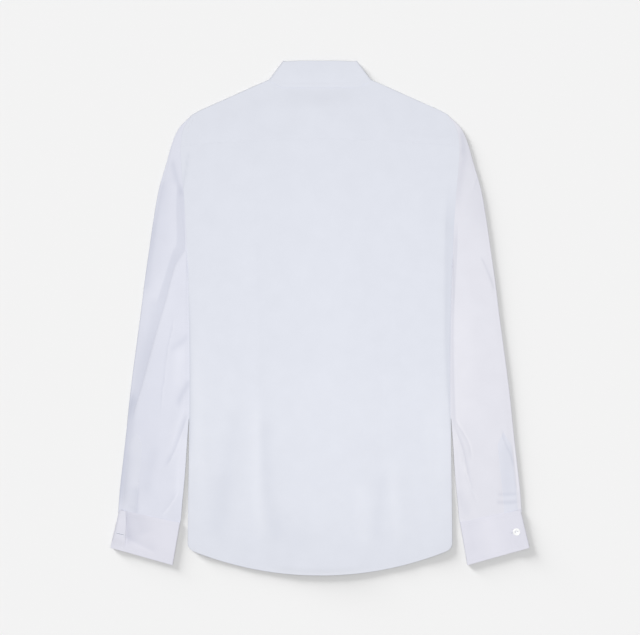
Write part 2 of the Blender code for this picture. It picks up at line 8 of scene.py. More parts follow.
import bmesh
import bpy
import numpy as np
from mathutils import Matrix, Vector


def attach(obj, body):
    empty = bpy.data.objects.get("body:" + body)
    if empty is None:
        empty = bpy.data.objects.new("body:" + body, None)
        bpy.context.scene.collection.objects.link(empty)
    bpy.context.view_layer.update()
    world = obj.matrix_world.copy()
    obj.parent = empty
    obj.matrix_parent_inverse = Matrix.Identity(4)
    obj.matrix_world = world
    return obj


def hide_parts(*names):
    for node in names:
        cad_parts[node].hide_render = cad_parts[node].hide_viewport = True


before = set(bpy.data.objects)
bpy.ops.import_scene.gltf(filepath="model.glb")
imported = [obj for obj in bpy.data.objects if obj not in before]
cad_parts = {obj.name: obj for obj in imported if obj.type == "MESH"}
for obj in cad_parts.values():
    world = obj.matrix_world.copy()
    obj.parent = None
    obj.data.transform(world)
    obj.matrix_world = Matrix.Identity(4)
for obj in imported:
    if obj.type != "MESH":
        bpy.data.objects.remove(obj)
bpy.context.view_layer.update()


# ------------------------------------------------------------------ back
# The back is one piece of fine white cotton poplin, cut with a shirt tail and
# laid over the fronts.  Its side and tail edges are turned twice and stitched,
# and it hangs in soft vertical folds that open towards the tail.

MM = 0.001
LEFT, RIGHT = -1, 1
WALL = 1.1              # wall of the solid that each piece stands for
BASE_PAINTED_SHADE = 0.3           # painted shade: the level painted into poplin where the tables add none
PLY = 0.55              # thickness drawn for one ply of poplin
SKIN = (WALL - PLY) / 2  # moves a ply out to the solid's outer face
TOP_PLY, LOW_PLY = WALL / 2 + SKIN, WALL / 2 - SKIN  # a ply's middle, from its solid's low face
LAYER = 1.45            # what one wall and its gap add to a stack
LOFT = 1.0
CLOSING_Z = {LEFT: 4.0, RIGHT: 5.45}
CLOSING_FLAT, CLOSING_END = 22.0, 100.0
LEAF_ENDS_X, LEAF_ENDS_Y = (88, 112), (200, 230)  # the fronts slope off the collar's points
STAND_ENDS_X, STAND_ENDS_Y = (82, 125), (312, 346)  # the back slopes up to the collar stand
UNDERARM_Y = 75.0
BODY_HALF = 198.5
BACK_WIDE, BACK_LONG = 400, 650  # nominal, to space the points
HEM_DROP, HEM_RISE, HEM_HALF, HEM_POWER, HEM_CORNER = 385.45, 36.0, 189.0, 2.1, 9.0
HEM_STITCH = 4.6        # how far in the hem is stitched
YOKE_SEAM_Y, YOKE_SEAM_FALL, YOKE_SEAM_HALF = 267.0, 9.0, 205.0
NECK_X = 76.0
COLLAR_Z, STAND_RING = 3.05, 1.0
SIDE_SEAM_MEETS, SIDE_SEAM_WIDE = 0.72, 2.6
TAIL_LIFT, TAIL_LIFT_X, TAIL_LIFT_Y = 0.95, (150, 186), (-300, -240)

BODY_EDGE = np.array((
    # y, half width: the armhole above the underarm, the side seam below it
    (306.0, 190.0), (303.0, 192.0), (285.0, 203.8), (258.0, 208.8), (225.0, 207.4),
    (190.0, 204.5), (150.0, 201.5), (110.0, 199.5), (75.0, 198.5), (0.0, 196.5),
    (-80.0, 195.5), (-180.0, 196.4), (-280.0, 197.6), (-400.0, 198.5),
))[::-1]
BACK_FOLDS = (
    # from x, from y, to x, to y, half width, height
    (-94, 110, -95, -300, 9, -0.8), (95, 90, 95, -250, 9, -0.7),
    (-112, -120, -104, -375, 15, 1.9), (-74, -130, -70, -370, 16, 1.5),
    (-150, -160, -160, -360, 20, 1.0), (112, -190, 122, -368, 15, 1.8),
    (76, -170, 70, -378, 17, 1.3), (160, -150, 168, -350, 18, 1.0),
    (0, -190, 6, -384, 26, 1.0), (-150, 225, -120, 60, 24, 0.8),
    (150, 220, 128, 50, 24, 0.8), (-182, -60, -172, -300, 9, -0.5),
    (182, -40, 176, -310, 9, -0.5), (40, -250, 46, -384, 9, 0.5),
    (-40, -262, -44, -384, 8, 0.5), (-30, 215, 70, 150, 14, 0.35),
    (-130, 20, -90, -60, 12, 0.4), (150, -20, 112, -110, 12, 0.4),
)

BACK_CREASES = (
    # half width of the core, share of its length that fades at each end, (height, painted shade,
    # reach) on the side of low x and on the side of high x, path; negative shade is painted light
    (2.4, 0.2, (0.3, 0, 12), (-0.7, 0.13, 40), ((190.5, 214.5), (188.2, 154.5), (187.5, 109.5),
        (186.8, 27), (187.8, -48), (189.8, -93), (192.8, -130.5), (195, -190.5))),
    (0.8, 0.15, (0, 0.13, 4), (0, 0.16, 4.5), ((-199.5, 42), (-198.6, -3), (-197.1, -48),
        (-196, -78), (-195.6, -123), (-195.6, -168), (-197.2, -228))),
    (4, 0.2, (-0.3, 0.05, 14), (-0.3, 0.05, 14), ((-126, -123), (-132, -183), (-141, -243),
        (-147, -303), (-150, -348))),
    (3.2, 0.2, (0.5, -0.05, 8), (0.5, -0.06, 8), ((-96, -108), (-96, -168), (-96.5, -228),
        (-94, -288), (-90, -345))),
    (4, 0.2, (-0.3, 0.07, 10), (-0.3, 0.06, 12), ((-84, -123), (-82.5, -183), (-78, -243),
        (-69, -303), (-60, -348))),
    (4, 0.2, (-0.3, 0.05, 9), (-0.3, 0.04, 8), ((96, -220.5), (93, -258), (88.5, -303),
        (87, -345))),
    (4, 0.2, (0.4, -0.04, 9), (0.4, -0.03, 11), ((110, -198), (110, -258), (114, -303),
        (120, -345))),
    (8, 0.3, (0, 0.03, 26), (0, 0.03, 26), ((-75, -290), (-45, -325), (-10, -347))),
    (8, 0.3, (0, 0.055, 22), (0, 0.045, 16), ((-132, -215), (-148, -275), (-162, -335))),
    (6, 0.25, (0, -0.045, 12), (0, -0.04, 12), ((58, -240), (62, -290), (70, -350))),
    (6, 0.2, (0, -0.035, 18), (0, -0.035, 18), ((-184, 0), (-186, -100), (-186, -180),
        (-182, -265))),
    (6, 0.2, (0, -0.04, 16), (0, -0.04, 16), ((168, -100), (176, -160), (178, -210), (176, -270))),
    (1.2, 0.2, (-0.15, 0.015, 2.5), (0.1, 0, 3), ((-93, 117), (-93, 72), (-92.2, 12))),
    (0.9, 0.22, (-0.2, 0.13, 3), (0.2, 0.04, 3), ((-194, 252), (-197.5, 237), (-200.5, 219),
        (-203.5, 201), (-206, 189))),
)


def ramp(low, high, value):
    """0 below low, 1 above high, and smooth between them."""
    share = np.clip((value - low) / (high - low), 0, 1)
    return share * share * (3 - 2 * share)


def fall(low, high, value):
    """1 below low, 0 above high, and smooth between them."""
    return 1 - ramp(low, high, value)


def mix(first, second, share):
    return first + (second - first) * share


def upper(first, second):
    """The larger of two heights, with the corner between them rounded."""
    return (np.maximum(first, 0) ** 4 + np.maximum(second, 0) ** 4) ** 0.25


def read(table, key):
    """A table's other columns at a key in its first, smooth between the rows."""
    keys, values = table[:, 0], table[:, 1:]
    slopes = np.gradient(values, keys, axis=0, edge_order=1)
    key = np.clip(np.asarray(key, float), keys[0], keys[-1])
    at = np.clip(np.searchsorted(keys, key, side="right") - 1, 0, len(keys) - 2)
    span = (keys[at + 1] - keys[at])[..., None]
    t = (key - keys[at])[..., None] / span
    found = ((1 + 2 * t) * (1 - t) ** 2 * values[at] + t * (1 - t) ** 2 * span * slopes[at]
             + t * t * (3 - 2 * t) * values[at + 1] + t * t * (t - 1) * span * slopes[at + 1])
    return found[..., 0] if values.shape[1] == 1 else found


def folds(table, x, y):
    """Height that soft ridges and troughs add, each along its own line."""
    total = np.zeros(np.broadcast(x, y).shape)
    for x0, y0, x1, y1, half_width, height in table:
        along_x, along_y = x1 - x0, y1 - y0
        length = math.hypot(along_x, along_y)
        t = ((x - x0) * along_x + (y - y0) * along_y) / length ** 2
        aside = ((x - x0) * along_y - (y - y0) * along_x) / length
        fade = ramp(-0.12, 0.3, t) * fall(0.75, 1.12, t)
        total += height * fade * np.exp(-(aside / half_width) ** 2)
    return total


def creases(table, x, y):
    """Height that creases give, and shade painted along them, each along its own path from top to
    bottom.
    """
    shape = np.broadcast(x, y).shape
    height, painted_shade = np.zeros(shape), np.zeros(shape)
    for core, end, (low_high, low_painted_shade, low_reach), (up_high, up_painted_shade, up_reach), path in table:
        path = np.array(path, float)
        knots = np.column_stack((np.arange(len(path)), path))
        path = read(knots, np.linspace(0, len(path) - 1, 5 * len(path) - 4))
        nearest, aside, along = np.full(shape, np.inf), np.zeros(shape), np.zeros(shape)
        for i, ((x0, y0), (x1, y1)) in enumerate(zip(path, path[1:])):
            length = math.hypot(x1 - x0, y1 - y0)
            t = ((x - x0) * (x1 - x0) + (y - y0) * (y1 - y0)) / length ** 2
            t = np.clip(t, 0, 1)
            apart = np.hypot(x - x0 - t * (x1 - x0), y - y0 - t * (y1 - y0))
            side = np.where((x - x0) * (y0 - y1) + (y - y0) * (x1 - x0) > 0, 1, -1)
            closer = apart < nearest
            nearest = np.where(closer, apart, nearest)
            aside = np.where(closer, apart * side, aside)
            along = np.where(closer, (i + t) / (len(path) - 1), along)
        fade = ramp(0, end, along) * fall(1 - end, 1, along)
        over = ramp(-core, core, aside)
        low, up = np.exp(-(aside / low_reach) ** 2), np.exp(-(aside / up_reach) ** 2)
        height += fade * (low_high * (1 - over) * low + up_high * over * up)
        painted_shade += fade * (low_painted_shade * (1 - over) * low + up_painted_shade * over * up)
    return height, painted_shade


def body_edge(y):
    return read(BODY_EDGE, y)


def from_side(x, y):
    """Distance in from the armhole's edge or the side seam."""
    return body_edge(y) - np.abs(x)


def hem(x, shorter=0.0):
    """The shirt-tail curve, with its corners rounded into the side seams."""
    y = -HEM_DROP + HEM_RISE * (np.abs(x) / HEM_HALF) ** HEM_POWER
    y = y + shorter * (1 - (x / HEM_HALF) ** 2)
    into = np.clip(np.abs(x) - (body_edge(y) - HEM_CORNER), 0, HEM_CORNER)
    return y + HEM_CORNER - np.sqrt(HEM_CORNER ** 2 - into ** 2)


def yoke_seam(x):
    return YOKE_SEAM_Y - YOKE_SEAM_FALL * (x / YOKE_SEAM_HALF) ** 2


def over_leaf(x, y):
    """Lift of the fronts where the collar's points lie under them."""
    return LAYER * ramp(*LEAF_ENDS_Y, y) * fall(*LEAF_ENDS_X, np.abs(x))


def over_closing(x, side):
    return CLOSING_Z[side] * fall(CLOSING_FLAT, CLOSING_END, x * side)


def rest_of(x, y):
    """Height the back can't go below: the top of the fronts."""
    return LAYER + upper(over_closing(np.abs(x), RIGHT), over_leaf(x, y))


def back_low(x, y):
    """Lower face of the back and the yoke, over whatever lies under them."""
    from_edge = from_side(x, y)
    side = fall(UNDERARM_Y - 20, UNDERARM_Y + 40, y)
    low = rest_of(x, y) + LOFT * (1 - side * fall(0, 14, from_edge))
    inside = ramp(0, 22, from_edge) * fall(225, 262, y)
    low = np.maximum(low + inside * folds(BACK_FOLDS, x, y), rest_of(x, y))
    collar = ramp(*STAND_ENDS_Y, y) * fall(*STAND_ENDS_X, np.abs(x))
    return mix(low, COLLAR_Z + STAND_RING - WALL / 2, collar)


def side_seam(x, y):
    """How far the back comes down, and the fronts come up, to meet at the side seams."""
    below = fall(UNDERARM_Y - 3, UNDERARM_Y + 14, y)
    return SIDE_SEAM_MEETS * below * fall(0, SIDE_SEAM_WIDE, from_side(x, y))


def tail_lift(x, y):
    """How far the stiff side seam holds the tail's corner off the table."""
    return TAIL_LIFT * ramp(*TAIL_LIFT_X, np.abs(x)) * fall(*TAIL_LIFT_Y, y)


def spaced(width, step, edge=(0.35, 0.8, 1.4, 2.2, 3.4, 5.0)):
    """Shares from 0 to 1 a step apart, with finer ones at both edges for the seams."""
    close = np.array((0.0, *edge)) / width
    inner = np.linspace(close[-1], 1 - close[-1], max(int(width / step), 3))
    return np.concatenate((close[:-1], inner, 1 - close[:-1][::-1]))


def put(name, data):
    """A new object in the scene."""
    piece = bpy.data.objects.new(name, data)
    bpy.context.scene.collection.objects.link(piece)
    return piece


def cloth(name, grid, finish, thickness=PLY, closed=False, skip=None, painted_shade=None):
    """A cloth wall from a grid of points (rows, columns, xyz), as an open sheet and Solidify.

    The last argument gives at each point how much shade is painted into the cloth's colour.
    """
    rows, columns = grid.shape[:2]
    index = np.arange(rows * columns).reshape(rows, columns)
    right = np.roll(index, -1, axis=1) if closed else index[:, 1:]
    left = index if closed else index[:, :-1]
    quads = np.stack((left[:-1], right[:-1], right[1:], left[1:]), axis=-1)
    quads = quads[~skip] if skip is not None else quads.reshape(-1, 4)
    mesh = bpy.data.meshes.new(name)
    mesh.from_pydata((grid.reshape(-1, 3) * MM).tolist(), [], quads.tolist())
    shows = mesh.attributes.new("painted_shade", "FLOAT", "POINT")
    level = np.zeros((rows, columns)) if painted_shade is None else np.broadcast_to(painted_shade, (rows, columns))
    shows.data.foreach_set("value", np.clip(BASE_PAINTED_SHADE + level, 0, 1).ravel())
    work = bmesh.new()
    work.from_mesh(mesh)
    bmesh.ops.delete(work, geom=[v for v in work.verts if not v.link_faces], context="VERTS")
    bmesh.ops.recalc_face_normals(work, faces=work.faces)
    work.to_mesh(mesh)
    work.free()
    mesh.shade_smooth()
    mesh.materials.append(finish)
    piece = put(name, mesh)
    wall = piece.modifiers.new("Wall", "SOLIDIFY")
    wall.thickness = thickness * MM
    wall.offset = 0
    return piece


def linear(code):
    """A hex sRGB colour as the linear colour that a shader takes."""
    values = [int(code[i:i + 2], 16) / 255 for i in (1, 3, 5)]
    return (*[v / 12.92 if v <= 0.04045 else ((v + 0.055) / 1.055) ** 2.4 for v in values], 1)


def surface(name, settings):
    """A material, its node tree and its Principled shader with these settings."""
    made = bpy.data.materials.new(name)
    made.use_nodes = True
    shader = made.node_tree.nodes["Principled BSDF"]
    for socket, value in settings.items():
        shader.inputs[socket].default_value = value
    return made, made.node_tree, shader


def add(tree, kind, settings, links=()):
    """Adds a node with its settings, and links its inputs to other nodes' outputs."""
    node = tree.nodes.new("ShaderNode" + kind)
    for key, value in settings.items():
        if key in node.inputs:
            node.inputs[key].default_value = value
        else:
            setattr(node, key, value)
    for socket, (source, output) in dict(links).items():
        tree.links.new(source.outputs[output], node.inputs[socket])
    return node


def between(tree, source, low, high, span=(0, 1)):
    """A colour between two hex ones, as a factor runs over a span."""
    tone = add(tree, "ValToRGB", {}, {"Fac": (source, "Fac")})
    for element, position, code in zip(tone.color_ramp.elements, span, (low, high)):
        element.position, element.color = position, linear(code)
    return tone


# Poplin is a plain weave with about 50 warp and 28 weft threads to the centimetre,
# too fine to show, so it is drawn with a thread every 0.45 mm and 0.6 mm.
WARP, WEFT = 0.45, 0.60
SLUB = 26.0             # length of the faint thick places in the yarn
PAINTED_SHADE_GREY = "#BFC3CE"  # painted shade: the grey that the white is multiplied towards where shade is painted
PUCKER = 9.0            # size of the small dents that washing leaves


def woven_poplin(name, colour, shade, turn=0.0, crisp=1.0):
    """Bleached cotton poplin, plain woven and pressed: matt, cool white, with a fine rib."""
    made, tree, shader = surface(name, {
        "Roughness": 0.82, "IOR": 1.46, "Specular IOR Level": 0.28,
        "Sheen Weight": 0.12, "Sheen Roughness": 0.45})
    place = add(tree, "TexCoord", {})
    lay = add(tree, "Mapping", {"Rotation": (0, 0, turn)}, {"Vector": (place, "Object")})
    waves = {}
    for word, axis, pitch in (("warp", "X", WARP), ("weft", "Y", WEFT)):
        waves[word] = add(
            tree, "TexWave",
            {"bands_direction": axis, "Scale": 0.314 / (pitch * MM), "Distortion": 0.6,
             "Detail": 1.0, "Detail Scale": 0.4},
            {"Vector": (lay, "Vector")})
    weave = add(tree, "Math", {"operation": "MAXIMUM"},
                {0: (waves["warp"], "Fac"), 1: (waves["weft"], "Fac")})
    slubs = add(tree, "TexNoise", {"Scale": 1 / (SLUB * MM), "Detail": 3.0},
                {"Vector": (lay, "Vector")})
    dents = add(tree, "TexNoise",
                {"Scale": 1 / (PUCKER * MM), "Detail": 4.0, "Roughness": 0.55},
                {"Vector": (lay, "Vector")})
    tint = between(tree, slubs, shade, colour, (0.3, 0.7))
    # Painted shade: the white is multiplied towards a grey as far as each point's painted shade
    # says.
    painted_shade = add(tree, "Attribute", {"attribute_name": "painted_shade"})
    painted_shade_mix = add(tree, "Mix", {"data_type": "RGBA", "blend_type": "MULTIPLY"},
                      {"Factor": (painted_shade, "Fac"), "A": (tint, "Color")})
    painted_shade_mix.inputs["B"].default_value = linear(PAINTED_SHADE_GREY)
    tree.links.new(painted_shade_mix.outputs["Result"], shader.inputs["Base Color"])
    threads = add(tree, "Bump", {"Strength": 0.35, "Distance": 0.03 * MM},
                  {"Height": (weave, "Value")})
    soft = add(tree, "Bump", {"Strength": 0.30 * crisp, "Distance": 0.35 * MM},
               {"Height": (dents, "Fac"), "Normal": (threads, "Normal")})
    tree.links.new(soft.outputs["Normal"], shader.inputs["Normal"])
    return made


def on_grid(grid, down, across):
    """Points and unit normals of a grid at rows `down` and columns `across`, both as shares."""
    rows, columns = grid.shape[:2]
    i, j = np.broadcast_arrays(down * (rows - 1), across * (columns - 1))
    a, b = np.clip(i.astype(int), 0, rows - 2), np.clip(j.astype(int), 0, columns - 2)
    s, t = (i - a)[:, None], (j - b)[:, None]
    p, q, r, w = grid[a, b], grid[a, b + 1], grid[a + 1, b], grid[a + 1, b + 1]
    point = (1 - s) * ((1 - t) * p + t * q) + s * ((1 - t) * r + t * w)
    normal = np.cross(q - p + w - r, r - p + w - q)
    return point, normal / np.maximum(np.linalg.norm(normal, axis=1), 1e-9)[:, None]


def row_at(shares, place):
    """The share of a grid's rows, themselves at uneven shares of a width, that lies at a place."""
    shares = np.ravel(shares)
    return np.interp(place, shares, np.linspace(0, 1, shares.size))


def cotton_thread(name, colour, raised="#F0F1F8"):
    """Mercerised cotton sewing thread, twisted: a little glossier than the cloth."""
    made, tree, shader = surface(name, {"Roughness": 0.55, "Sheen Weight": 0.2})
    place = add(tree, "TexCoord", {})
    twist = add(tree, "TexWave",
                {"bands_direction": "DIAGONAL", "Scale": 0.314 / (0.3 * MM)},
                {"Vector": (place, "Object")})
    tone = between(tree, twist, colour, raised)
    tree.links.new(tone.outputs["Color"], shader.inputs["Base Color"])
    bump = add(tree, "Bump", {"Strength": 0.3, "Distance": 0.05 * MM},
               {"Height": (twist, "Fac")})
    tree.links.new(bump.outputs["Normal"], shader.inputs["Normal"])
    return made


thread = cotton_thread("mercerised_cotton_thread", "#E4E6EE")
STITCH, STITCH_GAP, STITCH_WIDE, STITCH_HIGH = 1.9, 0.6, 0.22, 0.16


def thread_piece(name, points, faces, host, smooth=True):
    """A mesh of thread from points and faces, fixed to the piece that it is sewn to."""
    mesh = bpy.data.meshes.new(name)
    mesh.from_pydata((np.array(points) * MM).tolist(), [], faces)
    if smooth:
        mesh.shade_smooth()
    mesh.materials.append(thread)
    piece = put(name, mesh)
    piece.parent = host
    return piece


def along_path(places, run, values):
    """Three values each, read at places along a run."""
    return np.stack([np.interp(places, run, values[:, k]) for k in range(3)], 1)


def stitches(name, lines, host, up=1, lift=PLY / 2):
    """Lockstitch along lines of (points, normals): short grains of thread, joined in one mesh."""
    points, faces = [], []
    for path, normals in lines:
        steps = np.linalg.norm(np.diff(path, axis=0), axis=1)
        run = np.concatenate(((0,), np.cumsum(steps)))
        pitch = STITCH + STITCH_GAP
        centres = np.arange(pitch, run[-1] - pitch / 2, pitch)
        ends = [along_path(centres + e * STITCH / 2, run, path) for e in (-1, -0.5, 0.5, 1)]
        out = along_path(centres, run, normals)
        out *= up * np.where(out[:, 2:] * up < 0, -1, 1)
        along = ends[3] - ends[0]
        along /= np.linalg.norm(along, axis=1)[:, None]
        aside = np.cross(along, out)
        for place in range(len(centres)):
            n, s = out[place], aside[place]
            first = len(points)
            points.append(ends[0][place] + n * (lift - 0.05))
            for e in (1, 2):
                core = ends[e][place] + n * lift
                points += [core + s * STITCH_WIDE, core + n * STITCH_HIGH,
                           core - s * STITCH_WIDE, core - n * STITCH_HIGH]
            points.append(ends[3][place] + n * (lift - 0.05))
            for k in range(4):
                m = (k + 1) % 4
                faces += [(first, first + 1 + m, first + 1 + k),
                          (first + 1 + k, first + 1 + m, first + 5 + m, first + 5 + k),
                          (first + 9, first + 5 + k, first + 5 + m)]
    return thread_piece(name, points, faces, host)


def ridge(distance, at, height, width):
    """A small rounded ridge, or a ditch where the height is negative."""
    return height * np.exp(-((distance - at) / width) ** 2)


def turned_edge(distance, width=6.0, high=0.22):
    """Relief of a narrow hem: doubled cloth to its width, and the dip of its stitch line."""
    doubled = high * fall(width - 0.6, width + 0.6, distance)
    return doubled + ridge(distance, width - 1.4, -0.10, 0.7)


poplin_back = woven_poplin("cotton_poplin_woven_back", "#EBEDF4", "#E9EBF2")
EVEN = np.linspace(0, 1, 400)

UNDER_YOKE = 3.0        # the back's seam allowance goes this far under the yoke
HEM_DROOP, CLOSING_DROOP, DROOP_REACH = 0.45, 0.6, (0, 12)  # the hem hangs, most over the closing
CORNER_HELD, CORNER_X, CORNER_REACH = 0.6, (130, 175), (5, 30)
CLOSING_SAG, SAG_REACH = 0.16, (8, 60)
CLOSING_SHADE, LOW_SHADE, LOW_FROM, LOW_TO = 0.075, 0.024, (-345, -290), (-120, -50)
share = spaced(BACK_WIDE, 3.2) * 2 - 1
down = spaced(BACK_LONG, 3.4, (0.7, 1.5, 2.2, 2.7, 3.0, 3.3, 3.8, 5.0))[:, None]
x = np.broadcast_to(share * BODY_HALF, (down.size, share.size))
for _ in range(6):
    y = mix(yoke_seam(x) + UNDER_YOKE, hem(x), down)
    x = share * (body_edge(y) - 0.4 * ramp(0, 1, y - yoke_seam(x)))
from_hem = y - hem(x)
closing = over_closing(np.abs(x), RIGHT)
ripple = 0.10 * np.sin(x / 4.1 + 1.3 * np.sin(x / 17)) * np.exp(-(from_hem / 9) ** 2)
# The creases give height, and shade painted along them and along the side edges.
relief, painted_shade = creases(BACK_CREASES, x, y)
z = back_low(x, y) + TOP_PLY + turned_edge(from_hem) + ripple + relief
# Painted light: less shade is painted low down, and where the hem droops over the closing, to
# lighten them.
painted_shade = painted_shade - LOW_SHADE * fall(*LOW_TO, y) * ramp(*LOW_FROM, y)
painted_shade -= CLOSING_SHADE * closing / CLOSING_Z[RIGHT] * fall(2, 13, from_hem)
# Its top edge goes down a ply's thickness under the yoke, and its hem hangs.
under_edge = y - yoke_seam(x)
z -= 0.05 * ramp(-10, -0.7, under_edge) + PLY * ramp(-0.5, 0.4, under_edge)
z -= (CLOSING_DROOP * closing + HEM_DROOP) * fall(*DROOP_REACH, from_hem)
z += CORNER_HELD * ramp(*CORNER_X, np.abs(x)) * fall(*CORNER_REACH, from_hem)
z -= CLOSING_SAG * closing * fall(*SAG_REACH, from_hem)
z += tail_lift(x, y) - side_seam(x, y)
back_grid = np.stack((x, y, z), -1)
back = cloth("back_panel", back_grid, poplin_back, painted_shade=painted_shade)
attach(back, "root")
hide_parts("back")
hem_line = on_grid(back_grid, row_at(down, 1 - HEM_STITCH / BACK_LONG), 0.004 + 0.992 * EVEN)
stitches("back_hem_stitching", [hem_line], back)


# ------------------------------------------------------------------ yoke
# The yoke is one piece, cut on the cross grain so that its rib runs round the
# shoulders.  It folds over both shoulder lines and is edge-stitched to the back
# and, on the under side, to the fronts.

SHOULDER_TIP, SHOULDER_Y, SHOULDER_SLOPE = 192.0, 357.5, 0.444
YOKE_LONG, YOKE_FRONT, FOLD_IN = 90, 33.0, 1.9
YOKE_LAP, YOKE_STITCH, ARMHOLE_STITCH, FRONT_STITCH = 0.6, 1.8, 6.5, 1.6
TIP_EASED, TIP_EASED_X = 1.3, (178, 194)  # the fold draws in at the shoulder's tip
UNDER_LEAF = 0.35       # how far the collar's leaf presses the yoke down
NECK_BACK_Y, NECK_BACK_RISE = 350.0, 5.6
LEAF_BACK_Y = 345.0      # the collar leaf's lower edge lies on the yoke here
YOKE_FOLDS = (
    (-150, 292, -60, 326, 12, 0.5), (150, 292, 62, 328, 12, 0.5), (-40, 300, 44, 300, 13, 0.4),
    (118, 276, 190, 266, 5, 0.35), (-196, 285, -180, 262, 6, 0.3),
)


def shoulder(x):
    return SHOULDER_Y - SHOULDER_SLOPE * (np.abs(x) - NECK_X)


def neck_back(x):
    return NECK_BACK_Y + NECK_BACK_RISE * (x / NECK_X) ** 2


def beyond_neck(station, y):
    """x of a place measured at the shoulder, drawn out to the armhole edge at y."""
    reach = (np.abs(station) - NECK_X) / (SHOULDER_TIP - NECK_X)
    wide = np.sign(station) * mix(NECK_X, body_edge(y), reach)
    return np.where(np.abs(station) <= NECK_X, station, wide)


def front_low(x, y, side):
    """Lower, outer face of a front."""
    return upper(over_closing(x, side), over_leaf(x, y))


def either_front(x, y):
    """The same on whichever front lies at x."""
    return np.where(x < 0, front_low(x, y, LEFT), front_low(x, y, RIGHT))


neck_part = np.linspace(0, NECK_X, 26)
arm_part = NECK_X + spaced(SHOULDER_TIP - NECK_X, 3.4) * (SHOULDER_TIP - NECK_X)
half = np.concatenate((neck_part[:-1], arm_part))
station = np.concatenate((-half[:0:-1], half))
wraps = np.abs(station) >= NECK_X
share = spaced(YOKE_LONG, 3.0, (0.1, 0.5, 1.1, 1.8, 2.5, 3.4, 5.0))[:, None]
x = np.broadcast_to(station, (share.size, station.size))
for _ in range(6):
    fold_y = shoulder(x) - FOLD_IN - TIP_EASED * ramp(*TIP_EASED_X, np.abs(x))
    top = np.where(wraps, fold_y, neck_back(x))
    y = mix(yoke_seam(x) - YOKE_LAP, top, share)
    x = beyond_neck(station, y)
z = back_low(x, y) + TOP_PLY + folds(YOKE_FOLDS, x, y) * ramp(0, 9, top - y)
under_leaf = ramp(0.2, 1.8, y - LEAF_BACK_Y) * fall(NECK_X - 14, NECK_X, np.abs(x))
z -= UNDER_LEAF * under_leaf
z += ridge(y - yoke_seam(x), YOKE_STITCH, -0.05, 0.8)
z += ridge(from_side(x, y), 0, -0.10, 0.8)
upper_part = np.stack((x, y, z), -1)
fold_x, fold_y, high = upper_part[-1].T
low = either_front(fold_x, fold_y) + LOW_PLY
radius = (high - low) / 2
angle = np.linspace(math.pi / 2, -math.pi / 2, 12)[1:, None]
turned = np.stack(np.broadcast_arrays(
    fold_x, fold_y + radius * np.cos(angle), low + radius * (1 + np.sin(angle))), -1)
under = spaced(YOKE_FRONT - FOLD_IN, 3.5)[1:, None]
y = fold_y - (YOKE_FRONT - FOLD_IN) * under
x = beyond_neck(station, y)
z = either_front(x, y) + LOW_PLY
yoke_grid = np.concatenate((upper_part, turned, np.stack((x, y, z), -1)))
rows_up = upper_part.shape[0]
skip = np.zeros((yoke_grid.shape[0] - 1, station.size - 1), bool)
skip[rows_up - 1:] = ~(wraps[:-1] & wraps[1:])
skip[rows_up - 1:, (station[:-1] < 0) & (station[1:] > 0)] = True
poplin_yoke = woven_poplin("cotton_poplin_woven_yoke", "#EBEDF4", "#E9EBF2", math.pi / 2)
yoke = cloth("yoke_panel", yoke_grid, poplin_yoke, skip=skip)
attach(yoke, "root")
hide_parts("yoke")
yoke_back_line = on_grid(upper_part, row_at(share, YOKE_STITCH / YOKE_LONG), 0.003 + 0.994 * EVEN)
stitches("yoke_edge_stitching", [yoke_back_line], yoke)
armhole_lines, front_edges = [], []
at = np.linspace(NECK_X + 2, SHOULDER_TIP - 1, 120)
for side in (LEFT, RIGHT):
    column = row_at(station, side * (SHOULDER_TIP - ARMHOLE_STITCH))
    armhole_lines.append(on_grid(upper_part, EVEN, column))
    y = shoulder(at) - YOKE_FRONT + FRONT_STITCH
    x = beyond_neck(at, y) * side
    line = np.stack((x, y, either_front(x, y) + LOW_PLY), -1)
    front_edges.append((line, np.tile((0.0, 0.0, -1.0), (at.size, 1))))
stitches("yoke_armhole_stitching", armhole_lines, yoke)
stitches("yoke_front_stitching", front_edges, yoke, up=-1)


# ------------------------------------------------------------------ fronts
# Two fronts lie face down.  The wearer's left front laps over the right one and
# is lowest, so that the buttons rest on the table.  Both have a turned tail hem.

FRONT_SHORTER, FRONT_LONG = 13.0, 680
NECK_FRONT_Y, NECK_FRONT_DROP, NECK_POWER = 324.0, 44.0, 2.2
FRONT_TOP_GAP, TOP_EDGE_UP, TOP_EDGE = 1.1, 0.5, (0.9, 2.0)  # the top edge rises into the yoke
STRIP_HALF = 18.0
SIDES = {"left": LEFT, "right": RIGHT}


def neck_front(x):
    """Front neckline: the lower half of a rounded oblong."""
    share = np.clip(np.abs(x) / NECK_X, 0, 1)
    return NECK_FRONT_Y - NECK_FRONT_DROP * (1 - share ** NECK_POWER) ** (1 / NECK_POWER)


poplin_front = woven_poplin("cotton_poplin_woven_front", "#E6EAF4", "#E3E7F2")
FRONT_FOLDS = {
    # from x, from y, to x, to y, half width, height
    LEFT: (
        (-60, 150, -70, -250, 12, 0.75), (-110, 40, -100, -300, 14, 0.85),
        (-150, 150, -120, 20, 16, 0.8), (-166, -120, -158, -335, 10, 0.6),
        (-42, -180, -47, -368, 9, 0.7), (-92, 196, -62, 120, 10, 0.45),
    ),
    RIGHT: (
        (64, 120, 58, -220, 12, 0.75), (106, -10, 116, -320, 14, 0.85),
        (152, 140, 126, 0, 16, 0.8), (168, -100, 157, -325, 10, 0.6),
        (45, -200, 40, -362, 9, 0.7), (96, 190, 72, 110, 10, 0.45),
    ),
}
fronts = {}
close_in = NECK_X - 0.4 * (1.5 ** np.arange(9)[::-1])
station = np.concatenate((np.linspace(-STRIP_HALF, 60, 27)[:-1], close_in, arm_part[1:]))
station = np.unique(np.round(station, 3))
inner = np.abs(station) < NECK_X
down = spaced(FRONT_LONG, 4.2)[:, None]
